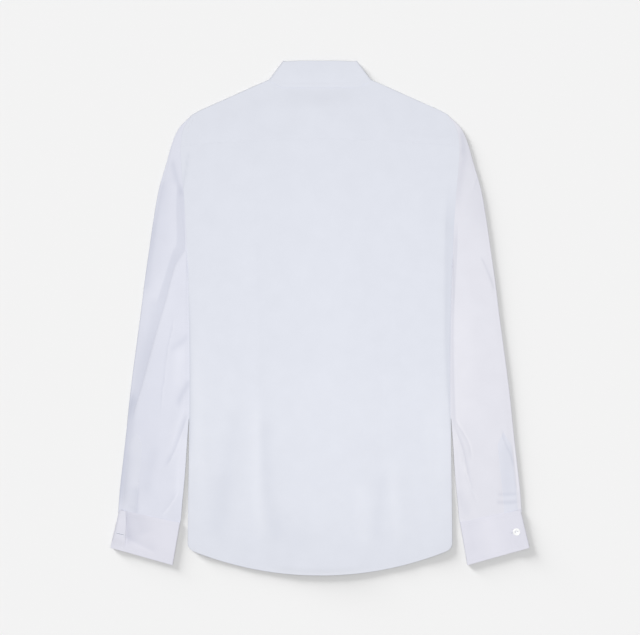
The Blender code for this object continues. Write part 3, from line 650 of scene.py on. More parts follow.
for word, side in SIDES.items():
    x = np.broadcast_to(station * side, (down.size, station.size))
    for _ in range(6):
        under_yoke = shoulder(station) - YOKE_FRONT + FRONT_TOP_GAP
        top = np.where(inner, neck_front(station) - 0.15, under_yoke)
        y = mix(top, hem(x, FRONT_SHORTER), down)
        x = beyond_neck(station * side, y)
    z = front_low(x, y, side) + LOW_PLY + folds(FRONT_FOLDS[side], x, y)
    z = np.maximum(z, PLY / 2) + side_seam(x, y) + tail_lift(x, y)
    z += ~inner * TOP_EDGE_UP * fall(*TOP_EDGE, top - y)
    grid = np.stack((x, y, z), -1)
    fronts[side] = cloth("front_panel_" + word, grid, poplin_front)
    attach(fronts[side], "root")
    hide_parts("front_" + word)
    tail = on_grid(grid, row_at(down, 1 - HEM_STITCH / FRONT_LONG), 0.01 + 0.98 * EVEN)
    stitches("front_%s_hem_stitching" % word, [tail], fronts[side], up=-1)


# ------------------------------------------------------------------ front placket
# The buttonhole strip is folded poplin with a light interlining, stitched along
# both edges to the outer face of the left front.

STRIP_Z, STRIP_PLY, STRIP_STITCH = 2.55, 0.8, 5.5
strip_shares = spaced(2 * STRIP_HALF, 3.0) * 2 - 1
down = spaced(BACK_LONG, 5.0)[:, None]
x = np.broadcast_to(strip_shares * STRIP_HALF, (down.size, strip_shares.size))
y = mix(neck_front(x) - 0.2, hem(x, FRONT_SHORTER), down)
edge = STRIP_HALF - np.abs(x)
z = STRIP_Z + LOW_PLY + ridge(edge, STRIP_STITCH, 0.12, 0.6) + 0 * y
strip_grid = np.stack((x, y, z), -1)
poplin_strip = woven_poplin("cotton_poplin_interlined_strip", "#E8ECF6", "#E5E9F3", crisp=0.4)
strip = cloth("front_placket_strip", strip_grid, poplin_strip, thickness=STRIP_PLY)
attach(strip, "root")
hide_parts("front_placket")
strip_lines = [on_grid(strip_grid, 0.004 + 0.99 * EVEN, across) for across in (0.30, 0.70)]
stitches("front_placket_stitching", strip_lines, strip, up=-1, lift=STRIP_PLY / 2)


# ------------------------------------------------------------------ sleeves
# Each sleeve is one piece of poplin sewn to a tube and set into the armhole.
# Pressed flat, it keeps a long diagonal fold from the underarm to the elbow and
# small creases over the cuff, where two pleats take in its fullness.

SLEEVE_HEAD = (303.0, 191.5)
SLEEVE_OUTER = np.array((
    # y, x of the outer fold
    SLEEVE_HEAD, (294.0, 202.0), (288.0, 208.0), (279.0, 214.0), (259.5, 222.0),
    (237.0, 228.5), (192.0, 241.5), (147.0, 249.5), (102.0, 256.0), (57.0, 262.5),
    (12.0, 268.0), (-33.0, 274.0), (-78.0, 280.0), (-123.0, 285.5), (-168.0, 290.0),
    (-213.0, 295.0), (-258.0, 300.0), (-290.0, 302.5),
))[::-1]
SLEEVE_INNER = np.array((
    # y, x of the inner fold, where it has left the body
    (-150.0, 197.0), (-183.0, 199.5), (-243.0, 203.6), (-273.0, 206.6), (-310.0, 209.6),
))[::-1]
SLEEVE_STATIONS = np.array((
    # station, inner y, outer y, share of the armhole's bow, air inside
    (0, 75.0, 303.0, 1, 1.3), (1, 71.5, 290.0, 0.8, 1.3), (2, 67.0, 279.0, 0.6, 1.4),
    (3, 61.5, 260.0, 0.4, 1.5), (4, 54.5, 232.0, 0.2, 1.6), (5, 46.5, 195.0, 0.06, 1.7),
    (6, 37.0, 155.0, 0, 1.8), (7, 24.0, 112.0, 0, 1.9), (8, 7.0, 68.0, 0, 1.9),
    (9, -15.0, 24.0, 0, 1.9), (10, -41.0, -20.0, 0, 1.9), (11, -72.0, -64.0, 0, 1.9),
    (12, -108.0, -108.0, 0, 1.8), (13, -150.0, -150.0, 0, 1.7), (14, -195.0, -192.0, 0, 1.6),
    (15, -240.0, -230.0, 0, 1.5), (16, -276.0, -261.0, 0, 1.4), (17, -306.0, -286.4, 0, 1.2),
))
LAST = SLEEVE_STATIONS[-1, 0]
SLEEVE_LOW_WIDTH = 93.0  # at the cuff
SLEEVE_FOLDS = {
    LEFT: (
        (205, 112, 232, 22, 11, 1.6), (232, 22, 262, -112, 12, 1.9),
        (262, -112, 280, -190, 14, 0.9), (212, 30, 222, -60, 10, 0.8),
        (208, -120, 224, -240, 11, 1.3), (238, -170, 262, -275, 12, 1.1),
        (228, 150, 238, 60, 13, 0.8), (282, -230, 288, -284, 7, 0.9),
    ),
    RIGHT: (
        (208, 120, 226, 10, 13, 1.3), (226, 10, 232, -110, 13, 1.1),
        (202, -158, 226, -205, 9, 1.4), (214, -215, 236, -280, 10, 1.2),
        (276, -160, 290, -225, 11, 1.1), (246, 62, 262, 40, 8, 0.7),
        (228, 160, 240, 70, 13, 0.8), (250, -120, 268, -262, 14, 0.9),
    ),
}
SLEEVE_CREASES = {
    # half width of the core, share of its length that fades at each end, (height, painted shade,
    # reach) on the inner side and on the outer side, path; negative shade is painted light
    LEFT: (
        (1, 0.07, (0.5, -0.01, 9), (-0.5, 0.15, 21), ((204.4, 204), (203.4, 186), (202.8, 162),
            (202.2, 139.5), (201.8, 118.5), (202.5, 103.5), (209, 91), (216, 79.5), (222.8, 57),
            (229.5, 30), (240, -6), (248.2, -34.5), (257.2, -67.5), (265.5, -99), (275.2, -130.5),
            (283.5, -165))),
        (1.2, 0.09, (0, 0, 6), (0.3, -0.125, 13), ((214, 208), (214.8, 186), (215.6, 162),
            (214.5, 132), (215.6, 109.5), (220.5, 100), (227, 79.5), (233, 60), (240, 38),
            (246, 18))),
        (1.5, 0.12, (0, 0.14, 9), (-0.2, 0.09, 8), ((232, 216), (239, 190), (245, 162), (250, 132),
            (254.6, 102), (257.8, 79.5), (260.3, 57), (265, 30))),
        (4, 0.2, (0, 0, 8), (-0.3, 0.13, 10), ((238.5, 177), (246, 139.5), (252, 102),
            (259.5, 64.5), (265.5, 19.5), (271.5, -25.5), (276.8, -63), (282, -100.5))),
        (1, 0.2, (-0.3, 0.13, 3.5), (-0.3, 0.12, 4.5), ((222, 243), (219, 225), (214.5, 207),
            (209, 192), (207, 180))),
        (9, 0.3, (0, 0.05, 22), (0, 0.05, 22), ((208, 262), (216, 235), (224, 205), (228, 165),
            (232, 120), (237, 75), (241, 20))),
        (0.7, 0.15, (0.3, -0.08, 2.2), (-0.35, 0.1, 2.6), ((218.2, 4.5), (221.2, -18),
            (226.5, -40.5), (229.5, -60), (231.8, -85.5), (235.8, -112.5), (237, -150))),
        (1.5, 0.25, (-0.4, 0.1, 4.5), (-0.2, 0.1, 5), ((195, -22.5), (204, -33), (216, -42),
            (227.2, -52.5))),
        (1.2, 0.25, (-0.4, 0.14, 3.5), (-0.5, 0.18, 5.5), ((192.8, -90), (199.5, -103.5),
            (207.8, -118.5), (213, -136.5))),
        (4, 0.25, (0.3, -0.08, 9), (0.3, -0.08, 9), ((208.5, -36), (210.8, -60), (213, -84),
            (214.5, -117))),
        (1.5, 0.2, (0.5, -0.07, 6), (0.2, -0.05, 5), ((198, -126), (207, -144), (214.5, -160.5),
            (222.8, -192), (228, -213))),
        (1.2, 0.2, (0.3, -0.06, 4), (-0.6, 0.17, 5), ((195.8, -141), (204, -163.5), (212.2, -186),
            (222, -208.5), (231.8, -226.5))),
        (3, 0.2, (0.3, -0.09, 10), (0.3, -0.09, 7), ((201, -171), (205.5, -193.5), (210, -220.5),
            (211.5, -250.5), (213, -273))),
        (0.9, 0.2, (0.5, -0.13, 2.6), (0.1, 0.04, 5), ((212.2, -258), (219, -271.5),
            (227.2, -283.5), (238.5, -297.8))),
        (0.8, 0.25, (0, 0, 3), (-0.8, 0.16, 11), ((271.8, -247.5), (272.1, -267), (272.4, -285),
            (273, -303))),
        (3, 0.25, (-0.3, 0.06, 7), (-0.2, 0.05, 8), ((243, -183), (255, -228), (259.5, -273))),
        (1.5, 0.15, (0, 0.17, 7.5), (-0.2, 0.28, 6), ((277.5, -105), (282.8, -138),
            (287.2, -175.5), (291.8, -213), (296.2, -250.5), (300.8, -291))),
        (5, 0.25, (0, 0.07, 9), (0, 0.09, 8), ((283.5, -190.5), (286.5, -220.5), (289.5, -250.5),
            (292.5, -291))),
        (2, 0.3, (0, 0.05, 3), (0, 0.05, 3), ((289.5, -280.5), (282, -283.5), (270, -289.5))),
        (8, 0.2, (0, 0.05, 24), (0, 0.05, 24), ((246, -5), (252, -50), (257, -100), (263, -150),
            (267, -200), (270, -250), (272, -297))),
    ),
    RIGHT: (
        (0.9, 0.15, (0, 0.17, 9), (0, 0, 4), ((207, 154.5), (205.5, 102), (202.5, 42), (200.2, -3),
            (200.7, -78), (202.8, -138), (203.4, -183))),
        (5, 0.2, (0.4, -0.05, 12), (0.3, -0.05, 26), ((202.5, 42), (204, -18), (205.5, -78),
            (207, -138), (208.5, -168))),
        (2.5, 0.2, (-0.4, 0.1, 6), (-0.3, 0.14, 8), ((207, 288), (214.5, 270), (216, 249),
            (210, 222), (205.5, 189), (202.5, 159))),
        (1.2, 0.25, (-0.3, 0.13, 3.5), (-0.3, 0.13, 3.5), ((209.5, 286), (213, 267), (213.8, 255),
            (212.5, 238))),
        (9, 0.3, (0, 0.08, 24), (0, 0.08, 24), ((220, 275), (228, 240), (236, 200), (244, 150),
            (250, 118))),
        (0.8, 0.25, (0.2, 0.03, 2.5), (-0.35, 0.16, 3), ((238.5, 93), (246, 79.5), (256.5, 52.5),
            (261, 39))),
        (1.1, 0.25, (0.2, -0.03, 3), (-0.35, 0.07, 3), ((246, 252), (237, 219), (226.5, 183))),
        (0.9, 0.2, (0.5, -0.08, 6), (-0.5, 0.15, 3.5), ((199.5, -156), (204.8, -172.5),
            (210.8, -189), (215.2, -204), (218.2, -219), (222, -238.5), (227.2, -256.5),
            (234, -276))),
        (0.9, 0.2, (-0.5, 0.12, 3), (0.5, -0.11, 3), ((201, -147), (207.8, -160.5), (216, -174),
            (222.8, -187.5), (226.5, -201), (227.2, -216))),
        (1, 0.25, (-0.3, 0.1, 3.5), (0.4, -0.07, 4.5), ((217.5, -228), (222, -243), (228, -259.5),
            (236.2, -279))),
        (1.5, 0.25, (0.2, -0.03, 5), (-0.4, 0.07, 6), ((204, -177), (207.8, -193.5), (211.5, -210),
            (213.8, -228))),
        (1, 0.2, (0.3, 0.03, 4), (-0.5, 0.14, 3.2), ((270, -162), (275, -183), (280.5, -196.5),
            (286.2, -210), (291, -229.5))),
        (0.9, 0.2, (0, 0.1, 3), (0.2, -0.1, 4), ((288, -186), (290.2, -205.5), (292.5, -228),
            (294.8, -252), (295.5, -264))),
        (1.4, 0.18, (-0.4, 0.16, 3), (-0.4, 0.14, 3), ((264, -264.6), (274.5, -264.3), (285, -264),
            (298.5, -262.8))),
        (1.4, 0.18, (-0.4, 0.19, 3.2), (-0.4, 0.16, 3.2), ((262.5, -275.7), (273, -276),
            (283.5, -276), (300, -274.5))),
        (3, 0.2, (-0.3, 0.08, 10), (-0.3, 0.08, 9), ((277.5, -183), (280.5, -228), (282, -270))),
        (3, 0.25, (-0.4, 0.08, 6), (-0.4, 0.08, 8), ((204, -250.5), (208.5, -268.5), (216, -285),
            (222, -300))),
    ),
}


SLEEVE_UNDER_FOLDS = {
    # from x, from y, to x, to y, half width, height, on the face that lies down
    LEFT: (
        (236, 60, 262, -60, 9, 0.8), (214, -60, 226, -170, 7, 0.6), (262, -120, 276, -245, 10, 0.7),
        (225, -200, 248, -266, 6, 0.6), (240, 190, 232, 110, 9, 0.5),
    ),
    RIGHT: (
        (228, 90, 250, -40, 10, 0.7), (232, -70, 224, -185, 8, 0.6), (274, -90, 282, -225, 9, 0.6),
        (238, -196, 262, -258, 6, 0.6), (246, 180, 240, 96, 8, 0.5),
    ),
}


def inner_fold(y):
    """Middle of the sleeve's wall at its inner fold: against the body, then free of it."""
    beside = body_edge(y) + PLY / 2 - 0.5
    return np.where(y > -150, beside, np.maximum(beside, read(SLEEVE_INNER, y) - 0.3))


def body_top(y):
    """Middle of the back's or the yoke's ply along the armhole."""
    return back_low(body_edge(y), y) + TOP_PLY


INTO_CUFF, TUCK_FROM = 5.0, LAST - 0.16
INNER_PRESSED, OUTER_PRESSED = 0.36, 0.8  # share of the tube's height left at its pressed folds
PRESSED_PART, SMOOTH_PART = 0.11, 0.14  # shares of its width that narrow, and have no folds
TIP_IN, TIP_UP, TIP_DOWN = 0.9, 1.4, 0.4  # how the head's tip turns in under the yoke
ARMHOLE_GAP, ARMHOLE_LOW = 0.1, 0.08
CUFF_LIFT = 0.85        # how far the cuff holds the inner fold up
CUFF_MIDDLE, TUCK_HALF, TUCK_IN = 2.05, 0.5, 1.6


def sleeve_grid(side, station, share, lean):
    """Points of the pressed tube: along it, across it from the inner fold, up or down, each with
    the shade painted there.
    """
    inner_y, outer_y, bow, air = np.moveaxis(read(SLEEVE_STATIONS, station), -1, 0)
    half = (air + WALL) / 2 + SKIN
    # The tube is pressed tighter at its folds than between them.
    inner_x = inner_fold(inner_y)
    outer_x = read(SLEEVE_OUTER, outer_y) - PLY / 2
    width = np.hypot(outer_x - inner_x, outer_y - inner_y)
    pressed = np.minimum(mix(INNER_PRESSED, 1, ramp(0, PRESSED_PART, share)),
                         mix(OUTER_PRESSED, 1, ramp(0, PRESSED_PART, 1 - share)))
    air_in, air_out = half * INNER_PRESSED, half * OUTER_PRESSED
    half = half * pressed
    reach = half * np.sqrt(np.maximum(0, 1 - lean ** 2))
    across = (mix(air_in, width - air_out, share) + np.where(share > 0.5, reach, -reach)) / width
    x, y = mix(inner_x, outer_x, across), mix(inner_y, outer_y, across)
    # Its first end follows the bow of the armhole.
    seam_y = mix(UNDERARM_Y, SLEEVE_HEAD[0], across)
    straight = mix(inner_fold(np.array(UNDERARM_Y)), SLEEVE_HEAD[1] - PLY / 2, across)
    x = x + bow * (body_edge(seam_y) - ARMHOLE_GAP - straight)
    z = LOW_PLY + half * (1 + lean)
    # Folds and creases fade towards the pressed folds and the seams.
    middle = ramp(0, SMOOTH_PART, share) * fall(1 - SMOOTH_PART, 1, share)
    # Shade painted along the creases goes with the points.
    fine, painted_shade = creases(SLEEVE_CREASES[side], x, y)
    relief = np.maximum(folds(SLEEVE_FOLDS[side], x, y), -0.4) + fine
    relief = relief * ramp(0, 2, station) * (1 - 0.6 * ramp(LAST - 1.2, LAST, station))
    below = folds(SLEEVE_UNDER_FOLDS[side], x, y) * fall(LAST - 1.6, LAST, station)
    z = z + middle * ((lean > 0.999) * relief + (lean < -0.999) * below)
    # The top ply meets the body's at the seam, and the head's tip turns in under the yoke.
    sewn = (lean > 0.999) * fall(0, 1.4, station)
    z = mix(z, body_top(seam_y) - ARMHOLE_LOW, sewn)
    tip = fall(0, 0.7, station) * ramp(1 - SMOOTH_PART, 1, across)
    x, y, z = x - TIP_IN * tip, y + TIP_UP * tip, mix(z, LOW_PLY + half, TIP_DOWN * tip)
    # The last end is held up by the cuff, and goes into it.
    to_cuff = ramp(LAST - 4.5, LAST - 2.5, station) * fall(LAST - 0.5, LAST, station)
    z = z + CUFF_LIFT * to_cuff * fall(0, 0.3, share)
    tuck = ramp(TUCK_FROM, LAST, station)
    z = mix(z, CUFF_MIDDLE + TUCK_HALF * lean, tuck)
    into = np.clip((station - TUCK_FROM) / (LAST - TUCK_FROM), 0, 1)
    x = x + into * (0.20 * INTO_CUFF + TUCK_IN * (0.5 - across))
    y = y - into * INTO_CUFF
    return np.stack((x * side, y, z, painted_shade * (lean > -0.5)), -1)


def tube_section(step_count, round_steps):
    """Places round a pressed tube, as (share across, lean), from its inner fold."""
    shares = (1 - np.cos(np.linspace(0, math.pi, step_count + 1))) / 2
    shares = mix(np.linspace(0, 1, step_count + 1), shares, 0.6)
    leans = np.cos(np.linspace(0, math.pi, round_steps + 1)[1:-1])
    section = [(s, 1.0) for s in shares] + [(1.0, lean) for lean in leans]
    section += [(s, -1.0) for s in shares[::-1]] + [(0.0, -lean) for lean in leans]
    return np.array(section).T


# Painted shade and light: the left sleeve's poplin is a little darker and the right one's a little
# lighter, for how light falls on the two sides.
poplin_sleeve = {
    LEFT: woven_poplin("cotton_poplin_woven_left_sleeve_painted_shade", "#EBECF5", "#E9EAF3", 0.22),
    RIGHT: woven_poplin("cotton_poplin_woven_right_sleeve_painted_light", "#EFEEF4", "#EDECF2", -0.22),
}
sleeves = {}
station = np.concatenate((np.linspace(0, 0.2, 5)[:-1], np.linspace(0.2, TUCK_FROM, 203),
                          np.linspace(TUCK_FROM, LAST, 6)[1:]))[:, None]
share, lean = tube_section(54, 8)
for word, side in SIDES.items():
    grid = sleeve_grid(side, station, share[None, :], lean[None, :])
    sleeves[side] = cloth("sleeve_panel_" + word, grid[..., :3], poplin_sleeve[side], closed=True,
                          painted_shade=grid[..., 3])
    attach(sleeves[side], "root")
    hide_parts("sleeve_" + word)


# ------------------------------------------------------------------ sleeve plackets
# A pointed strip of poplin finishes the slit above each cuff.  It is folded,
# laid on the sleeve beside the opening and edge-stitched round its point.

PLACKET_STATIONS, PLACKET_OUT, PLACKET_WIDTH = 3.5, 4.5, 21.0
PLACKET_PLY, PLACKET_UP, PLACKET_EDGE_DOWN = 0.22, 0.36, 0.17
poplin_placket = woven_poplin("cotton_poplin_folded_placket", "#ECEDF5", "#EAEBF3", 0.0, 0.6)


def out_of(grid, height):
    """A panel's own points moved out of it, along its normals, towards the top."""
    along, across = np.gradient(grid, axis=(0, 1))
    normal = np.cross(across, along)
    normal *= np.sign(normal[..., 2:]) / np.linalg.norm(normal, axis=-1, keepdims=True)
    return grid + normal * height


for word, side in SIDES.items():
    along = np.linspace(0, 1, 110)[:, None]
    station = mix(LAST - PLACKET_STATIONS, LAST - 0.02, along)
    pinch = 0.96 * (1 - np.clip(along / 0.12, 0, 1))
    columns = spaced(PLACKET_WIDTH, 1.8, (0.1, 0.5, 1.0, 1.8))[None, :]
    aside = PLACKET_OUT + PLACKET_WIDTH * mix(columns, 0.5, pinch)
    grid = sleeve_grid(side, station, 1 - aside / SLEEVE_LOW_WIDTH, np.ones_like(aside))
    # The strip takes the shade painted on the sleeve under it.
    painted_shade = grid[..., 3]
    edge = 1 - ramp(0, 0.07, columns) * fall(0.93, 1, columns) * ramp(0, 0.03, along)
    grid = out_of(grid[..., :3], PLACKET_UP - PLACKET_EDGE_DOWN * edge[..., None])
    placket = cloth("sleeve_placket_strip_" + word, grid, poplin_placket,
                    thickness=PLACKET_PLY, painted_shade=painted_shade)
    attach(placket, "root")
    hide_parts("sleeve_placket_" + word)
    ends = [on_grid(grid, 0.03 + 0.92 * EVEN, across) for across in (0.09, 0.91)]
    stitches("sleeve_placket_stitching_" + word, ends, placket, lift=PLACKET_PLY / 2)


# ------------------------------------------------------------------ cuffs
# Barrel cuffs of two plies over a fused interlining, so they lie flat and crisp.
# The end with the buttonhole laps over the other on the back, near the outer fold.

CUFF_WALL, CUFF_AIR = 1.6, 0.9
CUFF_TOP = np.array(((300.5, -287.0), (209.5, -306.6)))
CUFF_LOW = np.array(((314.2, -343.8), (220.6, -370.2)))
CUFF_WIDTH, CUFF_HEIGHT = 94.0, 61.0
CUFF_LAP = {LEFT: (12.0, 22.0), RIGHT: (25.0, 25.0)}  # edge from the outer fold, top and low
CUFF_UNDER = {LEFT: 5.0, RIGHT: 9.0}
BUTTON_HIGH, BUTTON_RADIUS = 2.2, 5.75
CUFF_BUTTON_DOWN = 0.52
CUFF_PLY, LAP_COLUMNS = 1.2, 14
CUFF_STITCH, CUFF_COLUMN, CUFF_INNER_FOLD = 5.6, 2.15, 0.345
LAP_EDGE_LOW = 1.19     # how far the lap's edge is rolled down onto the layer below
OPEN_LAP, OPEN_LAP_CORNER, OPEN_EDGE = 2.6, 2.6, 0.4  # how the open lap comes down
LAP_PRESSED = 0.72      # a buttoned lap lies on the layer below it
CUFF_CREASES = {
    # half width of the core, share of its length that fades at each end, (height, painted shade,
    # reach) on the inner side and on the outer side, path; negative shade is painted light
    LEFT: (
        (1, 0.2, (0, 0.19, 13), (0, 0, 3), ((292, -282), (291, -297), (289.8, -313.5),
            (289, -328.5), (288.8, -342))),
        (2, 0.2, (-0.5, 0.07, 12), (0.25, -0.05, 7), ((300, -322.5), (289.5, -330),
            (274.5, -338.2), (258, -346.5), (243, -354))),
        (5, 0.2, (-0.6, 0.11, 15), (-0.6, 0.1, 9), ((274.5, -289.5), (271.5, -309),
            (265.5, -328.5))),
        (6, 0.2, (0.25, -0.01, 15), (0.25, -0.01, 15), ((240, -291), (235.5, -318), (231, -345),
            (228, -366))),
    ),
    RIGHT: (
        (6, 0.2, (0.3, -0.08, 16), (0.3, -0.08, 18), ((252, -291), (255, -318), (259.5, -345),
            (262.5, -363))),
        (5, 0.2, (-0.3, 0.03, 8), (-0.3, 0.02, 9), ((225, -295.5), (228, -325.5), (234, -360))),
    ),
}
stiff_poplin = woven_poplin("cotton_poplin_fused_cuff", "#EDECF4", "#EBEAF2", 0.25, 0.35)


def cuff_levels(side):
    """Middle heights of the cuff's under, upper and lap layers."""
    under = CUFF_WALL / 2
    above = under + CUFF_WALL + CUFF_AIR
    lap = above + CUFF_WALL + 0.35 + (BUTTON_HIGH + 0.35 if side == LEFT else 0)
    return under, above, lap


def cuff_place(aside, down, side):
    """Plane point of a cuff: aside from its outer fold, down from the sleeve seam."""
    top = mix(CUFF_TOP[0], CUFF_TOP[1], aside[..., None])
    low = mix(CUFF_LOW[0], CUFF_LOW[1], aside[..., None])
    return mix(top, low, down[..., None]) * np.array((side, 1.0))


def cuff_section(side, down):
    """Distances from the outer fold and heights round the cuff, from its under end, at each row."""
    under, above, lap = cuff_levels(side)
    inner_round, outer_round = (above - under) / 2, (lap - under) / 2
    inner_turn = CUFF_WIDTH - inner_round - CUFF_WALL / 2
    outer_turn = outer_round + CUFF_WALL / 2
    bend = np.linspace(0, math.pi, 11)[1:-1]
    flat = np.linspace(0, 1, 40)
    parts = (
        (mix(CUFF_UNDER[side], inner_turn, flat), np.full(40, above)),
        (inner_turn + inner_round * np.sin(bend), under + inner_round * (1 + np.cos(bend))),
        (mix(inner_turn, outer_turn, flat), np.full(40, under)),
        (outer_turn - outer_round * np.sin(bend), under + outer_round * (1 - np.cos(bend))),
    )
    aside, z = np.concatenate(parts, axis=1)
    shares = np.append(np.linspace(0, 0.99, LAP_COLUMNS - 1), 1)
    over = mix(outer_turn, mix(*CUFF_LAP[side], down), shares)
    aside = np.concatenate((np.broadcast_to(aside, (down.size, aside.size)), over), 1)
    z = np.concatenate((z, np.full(LAP_COLUMNS, lap)))
    return aside, np.broadcast_to(z, aside.shape), above, lap


cuffs = {}
cuff_rows = spaced(CUFF_HEIGHT, 2.4, (0.12, 0.45, 1.0, 1.8, 3.0))
for word, side in SIDES.items():
    down = cuff_rows[:, None]
    aside, level, above, lap = cuff_section(side, down)
    place = cuff_place(aside / CUFF_WIDTH, np.broadcast_to(down, aside.shape), side)
    z = level.copy()
    top = z > above - 0.01
    edge = np.minimum(down, 1 - down) * CUFF_HEIGHT
    z += top * (ridge(edge, 3.4, 0.14, 1.6) + ridge(edge, CUFF_STITCH, -0.12, 0.7))
    # Painted shade beside the lap's edge and along the cuff's creases, shown on its top layers
    # only.
    dent, painted_shade = creases(CUFF_CREASES[side], place[..., 0] * side, place[..., 1])
    outer = np.where(z > above - 1.2, 0.2, -0.2)
    upper_ply = (z > above - 0.3) & (z < above + 0.3)
    z += (dent - 0.25 * fall(0, 4, down * CUFF_HEIGHT)) * upper_ply
    off_button, edge_low = 1, LAP_EDGE_LOW
    if side == LEFT:    # the open lap comes down beside its button, most at its low corner
        beside_button = 1 - np.exp(-((down - CUFF_BUTTON_DOWN) / 0.26) ** 4)
        off_button = (OPEN_LAP + OPEN_LAP_CORNER * ramp(0.66, 0.97, down)) * beside_button
        edge_low = OPEN_EDGE + OPEN_EDGE * ramp(0.6, 0.9, down)
    on_lap = np.arange(aside.shape[1]) >= aside.shape[1] - LAP_COLUMNS
    rolled = edge_low * on_lap * ramp(-7, 0, aside - mix(*CUFF_LAP[side], down))
    z -= LAP_PRESSED * off_button * ramp(above + 0.3, lap, z) + rolled
    grid = np.concatenate((place, (z + outer)[..., None]), -1)
    cuffs[side] = cloth("cuff_band_" + word, grid, stiff_poplin, thickness=CUFF_PLY,
                        painted_shade=painted_shade * top)
    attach(cuffs[side], "root")
    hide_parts("cuff_" + word)
    last = grid.shape[1] - 1
    lines = []
    for drop in (CUFF_STITCH / CUFF_HEIGHT, 1 - CUFF_STITCH / CUFF_HEIGHT):
        row = row_at(cuff_rows, drop)
        beyond_lap = (mix(*CUFF_LAP[side], drop) + 1.5 - CUFF_UNDER[side]) / CUFF_COLUMN / last
        lap_from = (last + 1 - LAP_COLUMNS) / last
        for near, far in ((beyond_lap, CUFF_INNER_FOLD), (lap_from, 0.975)):
            lines.append(on_grid(grid, row, mix(near, far, EVEN)))
    lines.append(on_grid(grid, 0.15 + 0.7 * EVEN, 1 - 4.2 / last))
    stitches("cuff_stitching_" + word, lines, cuffs[side], lift=CUFF_PLY / 2)


# ------------------------------------------------------------------ collar
# The stand is a stiffened band round the neck, and the leaf is sewn to its top
# edge and turned down over it.  The leaf's edge is stitched 6 mm in, and its two
# points lie under the shirt on the fronts.

LEAF_RING = 2.5
STAND_HIGH, LEAF_HIGH, LEAF_STITCH = 36, 42, 6.2
LEAF_SHARES = spaced(LEAF_HIGH, 2.4, (0.1, 0.45, 1.0, 1.8, 3.0))
TAB_LONG, TAB_SHARE, TAB_DROP = 14.0, 0.2, 9.0  # the stand's tab, past the middle of the front
LEAF_START = 0.1
ROUND_SHARE = 0.8       # share of the way at which the neckline's oblong ends
TAKEN_IN = 0.3          # the stand is this far inside the fronts' neckline
LEAF_DROOP = 0.92       # the leaf's back edge comes down onto the yoke
AXIS_TOP, NECK_SIDE = np.array((53.2, 382.8)), np.array((72.0, 357.1))
FOLD_BACK_Y, FOLD_FRONT_Y, FOLD_POWER, FOLD_GAP = 383.7, 308.0, 1.35, 0.2
LEAF_EDGE = np.array((
    # share of the way from the front to the side, x, y
    (0.0, 46.0, 246.0), (0.2, 57.0, 259.0), (0.45, 71.0, 286.0), (0.7, 80.5, 318.0),
    (0.88, 80.4, 341.0), (1.0, 74.4, 354.4),
))
COLLAR_PLY = 0.75
COLLAR_SKIN = (WALL - COLLAR_PLY) / 2


def stand_low(x, share, side):
    closing = (over_closing(x * side, side) - LAYER) * fall(0.3, 0.62, share)
    return upper(LAYER + 0.05, closing)


def collar_front(share, side):
    """Neckline, fold line, leaf edge and stand rings at shares from the front to the side."""
    angle = np.clip(share / ROUND_SHARE, 0, 1) * math.pi / 2
    out, down = np.sin(angle) ** (2 / NECK_POWER), np.cos(angle) ** (2 / NECK_POWER)
    neck = np.stack(((NECK_X - TAKEN_IN) * out,
                     NECK_FRONT_Y - (NECK_FRONT_DROP - TAKEN_IN) * down), -1)
    late = np.clip((share - ROUND_SHARE) / (1 - ROUND_SHARE), 0, 1)[:, None]
    neck = mix(neck, NECK_SIDE, late)
    before = share < 0
    neck[before, 0] = TAB_LONG * share[before] / TAB_SHARE
    fold = np.stack((AXIS_TOP[0] * share,
                     mix(FOLD_FRONT_Y, AXIS_TOP[1], np.clip(share, 0, 1) ** FOLD_POWER)), -1)
    fold[before, 0] = neck[before, 0] * 0.98
    fold[before, 1] = FOLD_FRONT_Y - TAB_DROP * (share[before] / TAB_SHARE) ** 2
    edge = read(LEAF_EDGE, share)
    rings = [COLLAR_Z - stand_low(np.maximum(at, 0), share, side) - WALL / 2
             for at in (neck[:, 0], fold[:, 0])]
    return neck, fold, edge, np.stack(rings, -1)


def collar_back(share):
    """The same at shares from the side to the centre back."""
    x = NECK_SIDE[0] * (1 - share)
    neck = np.stack((x, mix(NECK_SIDE[1], neck_back(x) + 0.2, ramp(0, 0.12, share))), -1)
    fold = np.stack((AXIS_TOP[0] * (1 - share),
                     mix(AXIS_TOP[1], FOLD_BACK_Y, ramp(0, 0.5, share))), -1)
    edge = np.stack((LEAF_EDGE[-1, 1] * (1 - share),
                     mix(LEAF_EDGE[-1, 2], LEAF_BACK_Y, ramp(0, 0.28, share) ** 0.6)), -1)
    return neck, fold, edge, np.full((share.size, 2), STAND_RING)


def collar_round(start):
    """Stations round the collar, left end first: neck, fold, edge, rings, lean and side."""
    outward = np.array((AXIS_TOP[1] - NECK_SIDE[1], NECK_SIDE[0] - AXIS_TOP[0], 0))
    outward /= np.linalg.norm(outward)
    parts = {}
    for side in (LEFT, RIGHT):
        share = np.linspace(start, 1, 60)
        front = collar_front(share, side)
        angles = np.linspace(-math.pi / 2, math.pi / 2, 17)[1:-1]
        turn = collar_back(np.zeros(angles.size))
        back_share = np.linspace(0, 1, 50)
        rear = collar_back(back_share)
        fields = [np.concatenate(trio) for trio in zip(front, turn, rear)]
        lean = np.concatenate((
            np.tile((0.0, 0.0, -1.0), (share.size, 1)),
            outward * np.cos(angles)[:, None] + np.array((0, 0, 1)) * np.sin(angles)[:, None],
            np.tile((0.0, 0.0, 1.0), (back_share.size, 1))))
        sign = np.full(lean.shape[0], float(side))
        parts[side] = [*fields, lean, sign]
    return [np.concatenate((first, second[::-1][1:])) for first, second in
            zip(parts[LEFT], parts[RIGHT])]


def collar_points(plan, lean, ring, sign):
    """Points on rings round the collar's axis."""
    flat = np.concatenate((plan, np.full((plan.shape[0], 1), COLLAR_Z)), 1)
    spot = flat + lean * np.asarray(ring)[:, None]
    spot[:, 0] *= sign
    return spot


